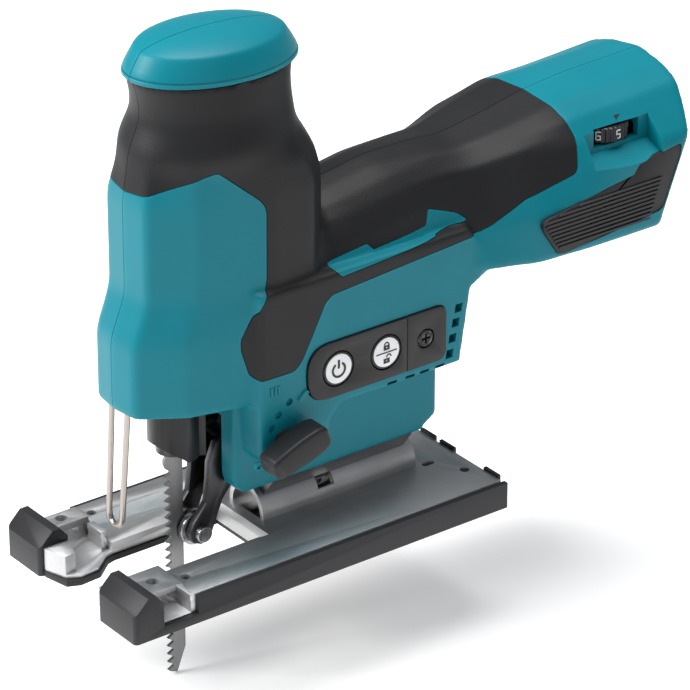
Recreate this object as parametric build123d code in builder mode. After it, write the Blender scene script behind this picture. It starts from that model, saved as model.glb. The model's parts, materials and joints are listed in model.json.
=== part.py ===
from build123d import *
import math
import os

os.makedirs("parts", exist_ok=True)

# ------------------------------------------------------------------ driving dimensions (mm)
# x forward (cutting direction), y to the tool's left, z up; origin on the sole under the blade axis.
SOLE_FRONT, SOLE_REAR, SOLE_HALF = 43.0, -113.9, 38.5
PLATE_TOP = 10.3            # upper face of the base plate
TILT_Z, TUNNEL_R = 11.0, 10.0
STROKE = 23.0
BLADE_TIP = -43.3
NOSE_Z = 67.0
SHELL = 2.6                 # housing wall
SKIN = 2.0                  # soft grip thickness
MODULE, PINION_T, GEAR_T = 0.8, 12, 44
GEAR_Z = 122.0
MOTOR_Z = GEAR_Z - MODULE * (PINION_T + GEAR_T) / 2
CRANK_R = STROKE / 2
N_RING = 28                 # points on every closed housing section


def save(builder, name):
    builder.part.label = name
    export_step(builder.part, f"parts/{name}.step")


# ------------------------------------------------------------------ helpers: closed sections
def star(poly, centre, inset=0.0, soft=1):
    """Radii of a symmetric closed outline at equal angles about a centre, drawn in by inset."""
    full = list(poly) + [(a, -b) for a, b in reversed(poly) if abs(b) > 1e-6]
    out = []
    for k in range(N_RING):
        t = 2 * math.pi * k / N_RING
        dx, dy = math.cos(t), math.sin(t)
        best = 1e9
        for i in range(len(full)):
            ax, ay = full[i][0] - centre, full[i][1]
            bx, by = full[(i + 1) % len(full)][0] - centre, full[(i + 1) % len(full)][1]
            ex, ey = bx - ax, by - ay
            det = dx * -ey + dy * ex
            if abs(det) < 1e-9:
                continue
            r = (ax * -ey + ay * ex) / det
            s = (dx * ay - dy * ax) / det
            if r > 0 and -1e-6 <= s <= 1 + 1e-6:
                best = min(best, r)
        out.append(best)
    for _ in range(soft):
        out = [0.25 * out[k - 1] + 0.5 * out[k] + 0.25 * out[(k + 1) % N_RING] for k in range(N_RING)]
    pts = [((centre + r * math.cos(2 * math.pi * k / N_RING)), r * math.sin(2 * math.pi * k / N_RING))
           for k, r in enumerate(out)]
    if inset:
        moved = []
        for k in range(N_RING):
            (x0, y0), (x1, y1) = pts[k - 1], pts[(k + 1) % N_RING]
            tx, ty = x1 - x0, y1 - y0
            n = math.hypot(tx, ty)
            moved.append((pts[k][0] - inset * ty / n, pts[k][1] + inset * tx / n))
        pts = moved
    return pts


def ellipse_poly(cx, a, b, n=24):
    return [(cx + a * math.cos(math.pi * i / n), b * math.sin(math.pi * i / n)) for i in range(n + 1)]


# half outlines of the front column, (x, y) from the front middle to the rear middle
COL_LOW = [(24.4, 0), (23.0, 11), (8.0, 20.8), (-7.6, 24.8), (-22, 27.4), (-44, 27.4), (-51, 20), (-51, 0)]
COL_UP = [(18.4, 0), (17.4, 11), (2.8, 20.6), (-11, 24.3), (-24, 26.6), (-40, 25.8), (-49, 18), (-51, 0)]
COL_MID = [(16.6, 0), (14.8, 9.5), (3.4, 19.6), (-9, 24), (-22, 26), (-36, 25), (-46, 18), (-50, 8), (-51, 0)]
NECK_A = ellipse_poly(-15.6, 31.2, 25.6)
NECK_B = ellipse_poly(-16.4, 30.0, 24.2)
NECK_C = ellipse_poly(-17.4, 28.3, 22.4)
NECK_D = ellipse_poly(-17.1, 28.4, 21.8)
NECK_E = ellipse_poly(-16.9, 30.2, 21.0)
COLUMN = [(NOSE_Z, COL_LOW, 0), (92, COL_LOW, 0), (107, COL_UP, 0), (141, COL_UP, 0), (151, COL_MID, 0),
          (158, NECK_A, 0), (162, NECK_B, 0), (168, NECK_C, 0), (175, NECK_D, 0), (183, NECK_E, 0)]

# half outlines of the barrel and tail, given as (z, y) at stations along x
BARREL = [
    (-30, [(119, 0), (118.2, 7), (116.6, 12.4), (113.7, 17.2), (109.8, 20.9), (104, 23.3), (98, 24), (90, 24), (88, 0)]),
    (-58, [(127.4, 0), (126.2, 7), (123.9, 12.7), (119.7, 17.6), (114.2, 21.4), (107, 23.8), (100, 24.5), (90, 24.5), (88, 0)]),
    (-80, [(131, 0), (129.8, 7.5), (127.2, 13.2), (122.5, 18.2), (116, 22), (108, 24.2), (100, 25), (90, 25), (88, 0)]),
    (-100, [(130.8, 0), (129, 11), (123.5, 18), (113, 21.5), (104, 23.6), (90, 27), (88, 0)]),
    (-112, [(129.6, 0), (128.4, 12), (123.5, 20), (114, 24), (104, 28.4), (89, 31.5), (88, 0)]),
    (-128, [(132.2, 0), (131.5, 14), (127, 24), (118, 29), (106, 35.0), (88.5, 36), (87.5, 0)]),
    (-148, [(136.3, 0), (135.2, 15), (132.3, 23), (126, 29.5), (117, 33.5), (108, 37), (88.5, 37), (87.5, 0)]),
    (-166, [(138.2, 0), (136.4, 14), (132.6, 22.5), (119.5, 37), (112, 37.3), (88.5, 37.2), (87.5, 0)]),
    (-206, [(139.6, 0), (138, 12), (135.5, 22.5), (122, 37), (112, 37.3), (88.5, 37.2), (87.5, 0)]),
]


def column_sections(inset, z_extra_low=0.0, z_extra_top=0.0):
    out = []
    for i, (z, poly, soft) in enumerate(COLUMN):
        zz = z - z_extra_low if i == 0 else z + z_extra_top if i == len(COLUMN) - 1 else z
        out.append((zz, star(poly, -16.0, inset, soft)))
    return out


def barrel_sections(inset, front_extra=0.0, rear_extra=0.0):
    out = []
    for i, (x, poly) in enumerate(BARREL):
        xx = x + front_extra if i == 0 else x - rear_extra if i == len(BARREL) - 1 else x
        out.append((xx, star(poly, 110.0, inset, 1)))
    return out


# ------------------------------------------------------------------ housing envelopes
def column_solid(inset, low=0.0, top=0.0):
    with BuildPart() as b:
        for z, pts in column_sections(inset, low, top):
            with BuildSketch(Plane.XY.offset(z)):
                with BuildLine():
                    Spline(*pts, periodic=True)
                make_face()
        loft(ruled=True)
    return b.part


def barrel_solid(inset, front=0.0, rear=0.0):
    with BuildPart() as b:
        for x, pts in barrel_sections(inset, front, rear):
            # sketch plane normal to x, its own x axis up the tool and its own y axis across it
            with BuildSketch(Plane(origin=(x, 0, 0), x_dir=(0, 0, 1), z_dir=(-1, 0, 0))):
                with BuildLine():
                    Spline(*pts, periodic=True)
                make_face()
        loft(ruled=True)
    return b.part


# lower body, side outlines (x, z)
BODY_UPPER = [(-13.2, 66), (-13.2, 108), (-104, 108), (-112, 95), (-112.0, 88), (-104.8, 84), (-100.5, 57.0), (-50, 57.0),
              (-45.5, 52), (-42, 41.5), (-20, 41.5), (-15.5, 47)]
BODY_LOWER = [(-13.2, 70), (-13.2, 34), (-14.6, 30), (-17.6, 27.8), (-94, 27.8), (-94, 29.2), (-99.3, 32.6), (-99.3, 62)]
HALF_UPPER, HALF_LOWER = 28.6, 17.0


def body_solid(inset):
    with BuildPart() as b:
        with BuildSketch(Plane.XZ.offset(-(HALF_UPPER - inset))):
            with BuildLine():
                Polyline(*BODY_UPPER, close=True)
            make_face()
            if inset:
                offset(amount=-inset, kind=Kind.INTERSECTION)
        extrude(amount=2 * (HALF_UPPER - inset))
        with BuildSketch(Plane.XZ.offset(-(HALF_LOWER - inset))):
            with BuildLine():
                Polyline(*BODY_LOWER, close=True)
            make_face()
            if inset:
                offset(amount=-inset, kind=Kind.INTERSECTION)
        extrude(amount=2 * (HALF_LOWER - inset))
    return b.part


# rubber boundary, side view (x, z)
GRIP_LINE = [(17.8, 144.2), (16, 145.3), (0, 151.8), (-4, 152.8), (-20.8, 138.1), (-20.6, 109), (-10.4, 91.4), (-10.4, 87.6),
             (-13.2, 78), (-16, 75.6), (-29.6, 75.4), (-33, 78.4), (-42.6, 97), (-45.5, 99.2), (-108.9, 103.7), (-113, 105.2),
             (-126, 112.4), (-146.6, 117.3), (-149.4, 128.0), (-148.4, 141), (-148.4, 160), (-80, 160), (-60, 215), (40, 215), (40, 144.2)]
CAP_SLOPE = 0.028           # the cap's lower edge falls towards the rear
REAR_LINE = [(-182.6, 80), (-185.2, 92), (-192.8, 112), (-199.3, 128), (-203.8, 145), (-230, 145), (-230, 80)]


def side_prism(points, half=60.0, shrink=0.0):
    """Side outline (x, z) pulled right across the tool."""
    with BuildPart() as b:
        with BuildSketch(Plane.XZ.offset(-half)):
            with BuildLine():
                Polyline(*points, close=True)
            make_face()
            if shrink:
                offset(amount=-shrink, kind=Kind.INTERSECTION)
        extrude(amount=2 * half)
    return b.part


def cap_line(x):
    return 181.87 - (13.7 - x) * CAP_SLOPE


def block(x0, x1, y0, y1, z0, z1):
    with BuildPart() as b:
        with BuildSketch(Plane.XY.offset(z0)):
            with Locations(((x0 + x1) / 2, (y0 + y1) / 2)):
                Rectangle(x1 - x0, y1 - y0)
        extrude(amount=z1 - z0)
    return b.part


def rod_y(x, z, r, y0, y1):
    with BuildPart() as b:
        with BuildSketch(Plane.XZ.offset(-y0)):
            with Locations((x, z)):
                Circle(r)
        extrude(amount=-(y1 - y0))
    return b.part


def rod_x(y, z, r, x0, x1):
    with BuildPart() as b:
        with BuildSketch(Plane.YZ.offset(x0)):
            with Locations((y, z)):
                Circle(r)
        extrude(amount=x1 - x0)
    return b.part


def rod_z(x, y, r, z0, z1):
    with BuildPart() as b:
        with BuildSketch(Plane.XY.offset(z0)):
            with Locations((x, y)):
                Circle(r)
        extrude(amount=z1 - z0)
    return b.part


inner_col = column_solid(SHELL + SKIN, 0.5, 6)
inner_bar = barrel_solid(SHELL + SKIN, 0, -8)
inner_body, inner_body_deep = body_solid(SHELL), body_solid(SHELL + SKIN)
over_cap = side_prism([(60, cap_line(60)), (60, 230), (-75, 230), (-75, cap_line(-75))])
tail_back = side_prism(REAR_LINE)
tail_back_in = side_prism([(x + 3.2, z) for x, z in REAR_LINE])
prism_tight, prism_open = side_prism(GRIP_LINE, shrink=0.12), side_prism(GRIP_LINE)

# screw stations: x, z, half width of the shell there, depth of the head below the right-hand surface
SCREWS = [(-38.0, 152.0, 20.0), (14.5, 84.0, 15.5), (-95.0, 67.0, 28.6), (-78.0, 35.0, 17.0), (-97.0, 122.5, 17.5), (-186.0, 121.5, 36.0)]

# ------------------------------------------------------------------ housing shells and soft grip
def fused(inset, low=0.0, top=0.0, front=0.0, rear=0.0):
    """Column, barrel and lower body as one solid, drawn in by inset."""
    forms = [column_solid(inset, low, top), barrel_solid(inset, front, rear), body_solid(inset)]
    with BuildPart() as b:
        add(forms)
    return b.part


outer_form = fused(0.0)
with BuildPart() as envelope:
    add(outer_form)
    add([over_cap, tail_back], mode=Mode.SUBTRACT)

under_skin, under_seat = fused(SKIN, 20, 10, 10, 10), fused(SKIN + 0.12, 20, 10, 10, 10)
with BuildPart() as skin:
    add(envelope.part)
    add(under_skin, mode=Mode.SUBTRACT)
    add(prism_tight, mode=Mode.INTERSECT)

with BuildPart() as seat:
    add(prism_open)
    add(under_seat, mode=Mode.SUBTRACT)

with BuildPart() as tail_room:
    add(inner_bar)
    add(tail_back_in, mode=Mode.SUBTRACT)

upper_zone = block(-130, 0, -40, 40, 94.0, 120.0)
with BuildPart() as low_room:
    add(inner_body)
    add(upper_zone, mode=Mode.SUBTRACT)

# bosses for the screws that hold the two halves together stay solid
bosses = [rod_y(sx, sz, 5.2 if hw < 30 else 4.6, -hw + 3.2, hw - 3.2) for sx, sz, hw in SCREWS]
BAY_FRONT, BAY_ROOF, BAY_HALF = -124.0, 103.6, 32.0
# dial recess in the left rear facet: a flat back wall and a floor that slopes outwards
DIAL_X, DIAL_Y, DIAL_R, DIAL_Z0, DIAL_Z1 = -167.5, 20.5, 9.0, 121.6, 127.8
with BuildPart() as dial_recess:
    with BuildSketch(Plane.YZ.offset(-181.5)):
        with BuildLine():
            Polyline((28.0, 140), (28.0, 119.4), (40, 114.6), (40, 140), close=True)
        make_face()
    extrude(amount=28.5)
with BuildPart() as recess_back:
    with BuildSketch(Plane.YZ.offset(-183.9)):
        with BuildLine():
            Polyline((25.6, 145), (25.6, 117.4), (42, 111.0), (42, 145), close=True)
        make_face()
    extrude(amount=33.3)

with BuildPart() as cavity:
    add(inner_col)
    add(tail_room.part)
    add(inner_body_deep)
    add(low_room.part)
    add(bosses, mode=Mode.SUBTRACT)
    add([recess_back.part, recess_back.part.mirror(Plane.XZ)], mode=Mode.SUBTRACT)

# side outlines (x, z) of the ribbed battery rail plates on the tail
RAIL_SIDE = [(-127.0, 104.6), (-168.4, 112.0), (-170.8, 115.2), (-190.0, 118.4), (-189.6, 113.5), (-182.8, 96.0), (-180.6, 94.8), (-138.5, 90.4), (-135.5, 91.0)]
PANEL_X, PANEL_Z = -63.9, 71.4


def side_plate(points, y0, y1):
    with BuildPart() as b:
        with BuildSketch(Plane.XZ.offset(-y0)):
            with BuildLine():
                Polyline(*points, close=True)
            make_face()
        extrude(amount=-(y1 - y0))
    return b.part


def capsule(width, height, radius, y0, y1, x=PANEL_X, z=PANEL_Z):
    with BuildPart() as b:
        with BuildSketch(Plane.XZ.offset(-y0)):
            with Locations((x, z)):
                RectangleRounded(width, height, radius)
        extrude(amount=-(y1 - y0))
    return b.part


openings = [
    block(-230, BAY_FRONT, -BAY_HALF, BAY_HALF, 80, BAY_ROOF),      # battery bay under the tail
    side_plate(RAIL_SIDE, 35.3, 60), side_plate(RAIL_SIDE, -60, -35.3),
    capsule(58.6, 20.8, 9.9, 26.9, 40), rod_y(-47.2, 71.4, 6.9, 20, 40), rod_y(-67.3, 71.4, 6.9, 20, 40),
    dial_recess.part, dial_recess.part.mirror(Plane.XZ), block(-177.4, -157.6, 15, 30, 121.2, 128.2),
    block(-31, -8, -9.3, 9.3, 20, 56),                              # slot for the roller arm
    rod_y(-18.0, 34.5, 1.5, -12.0, 12.0), rod_y(-25.0, 51.0, 3.05, -13.5, 40.0),
    rod_z(-57, 0, 2.8, 20, 32), rod_z(20.7, 5.6, 1.02, 60, 76.5), rod_z(20.7, -5.6, 1.02, 60, 76.5),
] + [block(-100.0, -96.6, -40, 40, 60.5 + 5.2 * k, 63.3 + 5.2 * k) for k in range(4)]

with BuildPart() as shell:
    add(envelope.part)
    add([cavity.part, seat.part] + openings, mode=Mode.SUBTRACT)

# ------------------------------------------------------------------ split the shells and finish them
def half_space(side):
    return block(-240, 80, 0 if side > 0 else -60, 60 if side > 0 else 0, -60, 240)


left_space, right_space = half_space(1), half_space(-1)
head_recesses = [rod_y(sx, sz, 3.6, -60, -hw + 4.0) for sx, sz, hw in SCREWS]

left_bores = [rod_y(sx, sz, 1.5, -1, 10) for sx, sz, hw in SCREWS] + [rod_y(-84.3, 71.4, 1.5, 17, 40)]
right_bores = [rod_y(sx, sz, 1.9, -60, 1) for sx, sz, hw in SCREWS]

with BuildPart() as housing_left:
    add(shell.part)
    add(left_space, mode=Mode.INTERSECT)
    add(left_bores, mode=Mode.SUBTRACT)
save(housing_left, "housing_left")

with BuildPart() as housing_right:
    add(shell.part)
    add(right_space, mode=Mode.INTERSECT)
    add(right_bores + head_recesses, mode=Mode.SUBTRACT)
save(housing_right, "housing_right")

# coloured inlay in the grip flank
INLAY = [(-46.5, 108.1), (-49.5, 104.6), (-106.0, 107.9), (-102.0, 110.9), (-90.9, 115.0), (-89.0, 109.9), (-66.3, 107.9), (-64.0, 110.3)]
inlay_block_l, inlay_block_r = side_plate(INLAY, 10, 60), side_plate(INLAY, -60, -10)
with BuildPart() as inlay_cut_l:
    with BuildSketch(Plane.XZ.offset(-10)):
        with BuildLine():
            Polyline(*INLAY, close=True)
        make_face()
        offset(amount=0.15, kind=Kind.INTERSECTION)
    extrude(amount=-50)
with BuildPart() as inlay_cut_r:
    with BuildSketch(Plane.XZ.offset(60)):
        with BuildLine():
            Polyline(*INLAY, close=True)
        make_face()
        offset(amount=0.15, kind=Kind.INTERSECTION)
    extrude(amount=-50)

with BuildPart() as grip_left:
    add(skin.part)
    add(left_space, mode=Mode.INTERSECT)
    add(inlay_cut_l.part, mode=Mode.SUBTRACT)
save(grip_left, "grip_left")

with BuildPart() as grip_right:
    add(skin.part)
    add(right_space, mode=Mode.INTERSECT)
    add([inlay_cut_r.part] + head_recesses, mode=Mode.SUBTRACT)
save(grip_right, "grip_right")

with BuildPart() as inlay_left:
    add(skin.part)
    add(inlay_block_l, mode=Mode.INTERSECT)
save(inlay_left, "inlay_left")

with BuildPart() as inlay_right:
    add(skin.part)
    add(inlay_block_r, mode=Mode.INTERSECT)
save(inlay_right, "inlay_right")

# ------------------------------------------------------------------ head cap
CAP_A, CAP_B, CAP_X = 32.0, 21.2, -17.4
with BuildPart() as head_cap:
    for z, f in ((179.0, 1.0), (181.4, 1.0), (190.6, 0.84)):
        with BuildSketch(Plane.XY.offset(z)):
            with Locations((CAP_X, 0)):
                Ellipse(CAP_A * f, CAP_B * f)
    loft(ruled=True)
    for z, f in ((190.6, 0.84), (193.0, 0.62), (193.9, 0.3)):
        with BuildSketch(Plane.XY.offset(z)):
            with Locations((CAP_X, 0)):
                Ellipse(CAP_A * f, CAP_B * f)
    loft(ruled=True)
    for z, d in ((175.0, 4.6), (182.0, 4.6), (188.6, 8.6)):
        with BuildSketch(Plane.XY.offset(z)):
            with Locations((CAP_X, 0)):
                Ellipse(CAP_A - d, CAP_B - d * 0.86)
    loft(ruled=True, mode=Mode.SUBTRACT)
    with BuildSketch(Plane.XZ.offset(-60)):
        with BuildLine():
            Polyline((60, cap_line(60) + 0.02), (60, 100), (-75, 100), (-75, cap_line(-75) + 0.02), close=True)
        make_face()
    extrude(amount=120, mode=Mode.SUBTRACT)
save(head_cap, "head_cap")

# ------------------------------------------------------------------ tail: battery rails and terminals
with BuildPart() as rail_left:
    with BuildSketch(Plane.XZ.offset(-35.3)):
        with BuildLine():
            Polyline(*RAIL_SIDE, close=True)
        make_face()
        offset(amount=-0.1, kind=Kind.INTERSECTION)
    extrude(amount=-2.1)
    # moulded ribs
    with BuildSketch(Plane.XZ.offset(-37.4)):
        for k in range(7):
            with Locations((-158.0 + 1.5 * k, 96.6 + 2.1 * k)):
                Rectangle(40 - 2.6 * k, 0.9)
    extrude(amount=0.5, mode=Mode.SUBTRACT)
save(rail_left, "rail_left")

with BuildPart() as rail_right:
    add(rail_left.part.mirror(Plane.XZ))
save(rail_right, "rail_right")

# channel that the battery slides into: roof, two legs with inward lips, front stop
with BuildPart() as battery_channel:
    with BuildSketch(Plane.YZ.offset(-184.0)):
        with BuildLine():
            Polyline((-31.9, 91.0), (-24.5, 91.0), (-24.5, 93.6), (-28.6, 93.6), (-28.6, 100.8), (28.6, 100.8), (28.6, 93.6),
                     (24.5, 93.6), (24.5, 91.0), (31.9, 91.0), (31.9, 103.5), (-31.9, 103.5), close=True)
        make_face()
    extrude(amount=59.8)
    with BuildSketch(Plane.XY.offset(91.0)):
        with Locations((-125.0, 0)):
            Rectangle(1.6, 63.8)
    extrude(amount=12.5)
    # rear end follows the slope of the tail
    with BuildSketch(Plane.XZ.offset(-60)):
        with BuildLine():
            Polyline((-182.2, 85), (-184.0, 93), (-188.2, 104), (-200, 104), (-200, 85), close=True)
        make_face()
    extrude(amount=120, mode=Mode.SUBTRACT)
    # window for the terminal block
    with BuildSketch(Plane.XY.offset(95)):
        with Locations((-138, 0)):
            Rectangle(24.2, 34.2)
    extrude(amount=12, mode=Mode.SUBTRACT)
save(battery_channel, "battery_channel")

with BuildPart() as terminal_block:
    with BuildSketch(Plane.XY.offset(94.6)):
        with Locations((-138, 0)):
            Rectangle(24, 34)
    extrude(amount=12.4)
    fillet(terminal_block.edges().filter_by(Axis.Z), 1.5)
    with BuildSketch(Plane.YZ.offset(-151)):
        with Locations((-11, 98), (0, 98), (11, 98)):
            Rectangle(0.8, 5.0)
    extrude(amount=12, mode=Mode.SUBTRACT)
save(terminal_block, "terminal_block")

with BuildPart() as terminals:
    with BuildSketch(Plane.YZ.offset(-160)):
        with Locations((-11, 98), (0, 98), (11, 98)):
            Rectangle(0.8, 5.0)
    extrude(amount=20.9)
    chamfer(terminals.faces().sort_by(Axis.X)[:3].edges().filter_by(Axis.Z), 0.3)
save(terminals, "terminals")

# ------------------------------------------------------------------ switch panel and buttons
with BuildPart() as switch_panel:
    with BuildSketch(Plane.XZ.offset(-27.0)):
        with Locations((PANEL_X, PANEL_Z)):
            RectangleRounded(58.4, 20.6, 9.8)
    extrude(amount=-2.6)
    # straight right-hand end with small corner radii
    with BuildSketch(Plane.XZ.offset(-27.0)):
        with Locations((-47.2, PANEL_Z), (-67.3, PANEL_Z)):
            Circle(6.4)
    extrude(amount=-5, mode=Mode.SUBTRACT)
    with BuildSketch(Plane.XZ.offset(-28.2)):
        with Locations((-84.3, PANEL_Z)):
            Circle(3.6)
    extrude(amount=-5, mode=Mode.SUBTRACT)
    with BuildSketch(Plane.XZ.offset(-20)):
        with Locations((-84.3, PANEL_Z)):
            Circle(1.7)
    extrude(amount=-12, mode=Mode.SUBTRACT)
save(switch_panel, "switch_panel")

with BuildPart() as power_button:
    with BuildSketch(Plane.XZ.offset(-26.4)):
        with Locations((-47.2, PANEL_Z)):
            Circle(6.2)
    extrude(amount=-3.6)
    fillet(power_button.edges().sort_by(Axis.Y)[-1], 0.4)
    with BuildSketch(Plane.XZ.offset(-24.8)):
        with Locations((-47.2, PANEL_Z)):
            Circle(2.0)
    extrude(amount=-1.6)
save(power_button, "power_button")

with BuildPart() as lock_button:
    with BuildSketch(Plane.XZ.offset(-26.4)):
        with Locations((-67.3, PANEL_Z)):
            Circle(6.2)
    extrude(amount=-3.6)
    fillet(lock_button.edges().sort_by(Axis.Y)[-1], 0.4)
    with BuildSketch(Plane.XZ.offset(-24.8)):
        with Locations((-67.3, PANEL_Z)):
            Circle(2.0)
    extrude(amount=-1.6)
save(lock_button, "lock_button")

with BuildPart() as switch_board:
    with BuildSketch(Plane.XZ.offset(-20.6)):
        with Locations((-61, PANEL_Z)):
            RectangleRounded(42, 17, 1.5)
    extrude(amount=-1.6)
    with BuildSketch(Plane.XZ.offset(-22.2)):
        with Locations((-47.2, PANEL_Z), (-67.3, PANEL_Z)):
            Rectangle(6, 6)
    extrude(amount=-1.4)
save(switch_board, "switch_board")

with BuildPart() as panel_screw:
    with BuildSketch(Plane.XZ.offset(-28.2)):
        with Locations((-84.3, PANEL_Z)):
            Circle(3.2)
    extrude(amount=-1.3)
    fillet(panel_screw.edges().sort_by(Axis.Y)[-1], 0.5)
    with BuildSketch(Plane.XZ.offset(-18.5)):
        with Locations((-84.3, PANEL_Z)):
            Circle(1.45)
    extrude(amount=-9.7)
    with BuildSketch(Plane.XZ.offset(-28.5)):
        with Locations((-84.3, PANEL_Z)):
            Rectangle(3.6, 0.8)
            Rectangle(0.8, 3.6)
    extrude(amount=-2, mode=Mode.SUBTRACT)
save(panel_screw, "panel_screw")

with BuildPart() as housing_screws:
    for sx, sz, hw in SCREWS:
        with BuildSketch(Plane.XZ.offset(hw - 4.0)):
            with Locations((sx, sz)):
                Circle(3.2)
        extrude(amount=2.2)
        with BuildSketch(Plane.XZ.offset(hw - 4.0)):
            with Locations((sx, sz)):
                Circle(1.45)
        extrude(amount=-(hw - 4.0 + 8.0))
save(housing_screws, "housing_screws")

# ------------------------------------------------------------------ speed dial
with BuildPart() as speed_dial:
    with BuildSketch(Plane.XY.offset(DIAL_Z0 + 0.3)):
        with Locations((DIAL_X, DIAL_Y)):
            Circle(DIAL_R)
    extrude(amount=DIAL_Z1 - DIAL_Z0 - 0.6)
    with BuildSketch(Plane.XY.offset(DIAL_Z0 - 1)):
        with Locations((DIAL_X, DIAL_Y)):
            with PolarLocations(DIAL_R + 0.25, 30):
                Rectangle(1.1, 0.8)
    extrude(amount=10, mode=Mode.SUBTRACT)
    with BuildSketch(Plane.XY.offset(DIAL_Z0 - 1)):
        with Locations((DIAL_X, DIAL_Y)):
            Circle(1.55)
    extrude(amount=10, mode=Mode.SUBTRACT)
save(speed_dial, "speed_dial")

with BuildPart() as dial_shaft:
    with BuildSketch(Plane.XY.offset(103.5)):
        with Locations((DIAL_X, DIAL_Y)):
            Rectangle(8, 8)
    extrude(amount=9)
    with BuildSketch(Plane.XY.offset(112.0)):
        with Locations((DIAL_X, DIAL_Y)):
            Rectangle(11, 11)
    extrude(amount=4.5)
    with BuildSketch(Plane.XY.offset(116.5)):
        with Locations((DIAL_X, DIAL_Y)):
            Circle(3.0)
    extrude(amount=4.9)
    with BuildSketch(Plane.XY.offset(116.5)):
        with Locations((DIAL_X, DIAL_Y)):
            Circle(1.5)
    extrude(amount=11.1)
save(dial_shaft, "dial_shaft")

# ------------------------------------------------------------------ controller
with BuildPart() as controller:
    with BuildSketch(Plane.XY.offset(93.0)):
        with Locations((-106.5, 0)):
            RectangleRounded(21, 29, 2)
    extrude(amount=20)
    with BuildSketch(Plane.YZ.offset(-96.0)):
        with Locations((0, 103)):
            Rectangle(22, 12)
    extrude(amount=-1.6, mode=Mode.SUBTRACT)
save(controller, "controller")

# ------------------------------------------------------------------ motor
with BuildPart() as stator:
    with BuildSketch(Plane.YZ.offset(-78)):
        with Locations((0, MOTOR_Z)):
            Circle(18.8)
            Circle(15.4, mode=Mode.SUBTRACT)
            with PolarLocations(14.3, 6):
                Rectangle(3.6, 4.0)
            with PolarLocations(12.7, 6):
                Rectangle(1.4, 8.4)
    extrude(amount=24)
save(stator, "stator")

with BuildPart() as windings:
    with BuildSketch(Plane.YZ.offset(-80.5)):
        with Locations((0, MOTOR_Z)):
            with PolarLocations(14.2, 6):
                Rectangle(1.4, 6.4)
                Rectangle(1.5, 4.1, mode=Mode.SUBTRACT)
    extrude(amount=29)
    with BuildSketch(Plane.YZ.offset(-80.5)):
        with Locations((0, MOTOR_Z)):
            with PolarLocations(14.2, 6):
                Rectangle(1.4, 6.4)
    extrude(amount=2.4)
    with BuildSketch(Plane.YZ.offset(-53.9)):
        with Locations((0, MOTOR_Z)):
            with PolarLocations(14.2, 6):
                Rectangle(1.4, 6.4)
    extrude(amount=2.4)
save(windings, "windings")

with BuildPart() as rotor:
    with BuildSketch(Plane.YZ.offset(-77.5)):
        with Locations((0, MOTOR_Z)):
            Circle(11.5)
            Circle(2.5, mode=Mode.SUBTRACT)
            with PolarLocations(8.2, 4):
                Rectangle(1.8, 9.0, mode=Mode.SUBTRACT)
    extrude(amount=23)
save(rotor, "rotor")

with BuildPart() as magnets:
    with BuildSketch(Plane.YZ.offset(-77.5)):
        with Locations((0, MOTOR_Z)):
            with PolarLocations(8.2, 4):
                Rectangle(1.8, 9.0)
    extrude(amount=23)
save(magnets, "magnets")


def tooth_profile(teeth, module, shift, phase, centre):
    """Involute-like closed tooth outline as points in the gear's own plane."""
    pitch_r = module * teeth / 2
    tip_r = pitch_r + module * (0.95 + shift)
    root_r = pitch_r - module * (1.3 - shift)
    base_r = pitch_r * math.cos(math.radians(20))
    half_pitch = math.pi / (2 * teeth) + 2 * shift * math.tan(math.radians(20)) / teeth - 0.055 / pitch_r
    inv = lambda r: math.tan(math.acos(min(1.0, base_r / r))) - math.acos(min(1.0, base_r / r))
    pts = []
    radii = [max(root_r, base_r) + (tip_r - max(root_r, base_r)) * k / 4 for k in range(5)]
    for t in range(teeth):
        mid = phase + 2 * math.pi * t / teeth
        flank = [(r, half_pitch + inv(pitch_r) - inv(r)) for r in radii]
        left = [(root_r, -flank[0][1])] if root_r < radii[0] - 0.01 else []
        left += [(r, -a) for r, a in flank]
        right = [(r, a) for r, a in reversed(flank)]
        right += [(root_r, flank[0][1])] if root_r < radii[0] - 0.01 else []
        for r, a in left + right:
            pts.append((centre[0] + r * math.cos(mid + a), centre[1] + r * math.sin(mid + a)))
    return pts


# a pinion tooth points up at the gear, and a gear gap points down at it
PINION_PTS = tooth_profile(PINION_T, MODULE, 0.25, math.pi / 2, (0, MOTOR_Z))
GEAR_PTS = tooth_profile(GEAR_T, MODULE, -0.25, -math.pi / 2 + math.pi / GEAR_T, (0, GEAR_Z))

with BuildPart() as motor_shaft:
    with BuildSketch(Plane.YZ.offset(-91)):
        with Locations((0, MOTOR_Z)):
            Circle(2.5)
    extrude(amount=91 - 23.5)
    with BuildSketch(Plane.YZ.offset(-23.5)):
        with BuildLine():
            Polyline(*PINION_PTS, close=True)
        make_face()
    extrude(amount=10.0)
save(motor_shaft, "motor_shaft")

with BuildPart() as fan:
    with BuildSketch(Plane.YZ.offset(-50)):
        with Locations((0, MOTOR_Z)):
            Circle(16.5)
            Circle(2.5, mode=Mode.SUBTRACT)
    extrude(amount=1.4)
    with BuildSketch(Plane.YZ.offset(-48.6)):
        with Locations((0, MOTOR_Z)):
            Circle(5)
            Circle(2.5, mode=Mode.SUBTRACT)
            with PolarLocations(11, 11):
                Rectangle(10, 1.1, rotation=18)
    extrude(amount=5.6)
save(fan, "fan")

with BuildPart() as front_bearing:
    with BuildSketch(Plane.YZ.offset(-35)):
        with Locations((0, MOTOR_Z)):
            Circle(7.9)
            Circle(2.55, mode=Mode.SUBTRACT)
    extrude(amount=5)
    fillet(front_bearing.edges().filter_by(GeomType.CIRCLE), 0.3)
save(front_bearing, "front_bearing")

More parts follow.
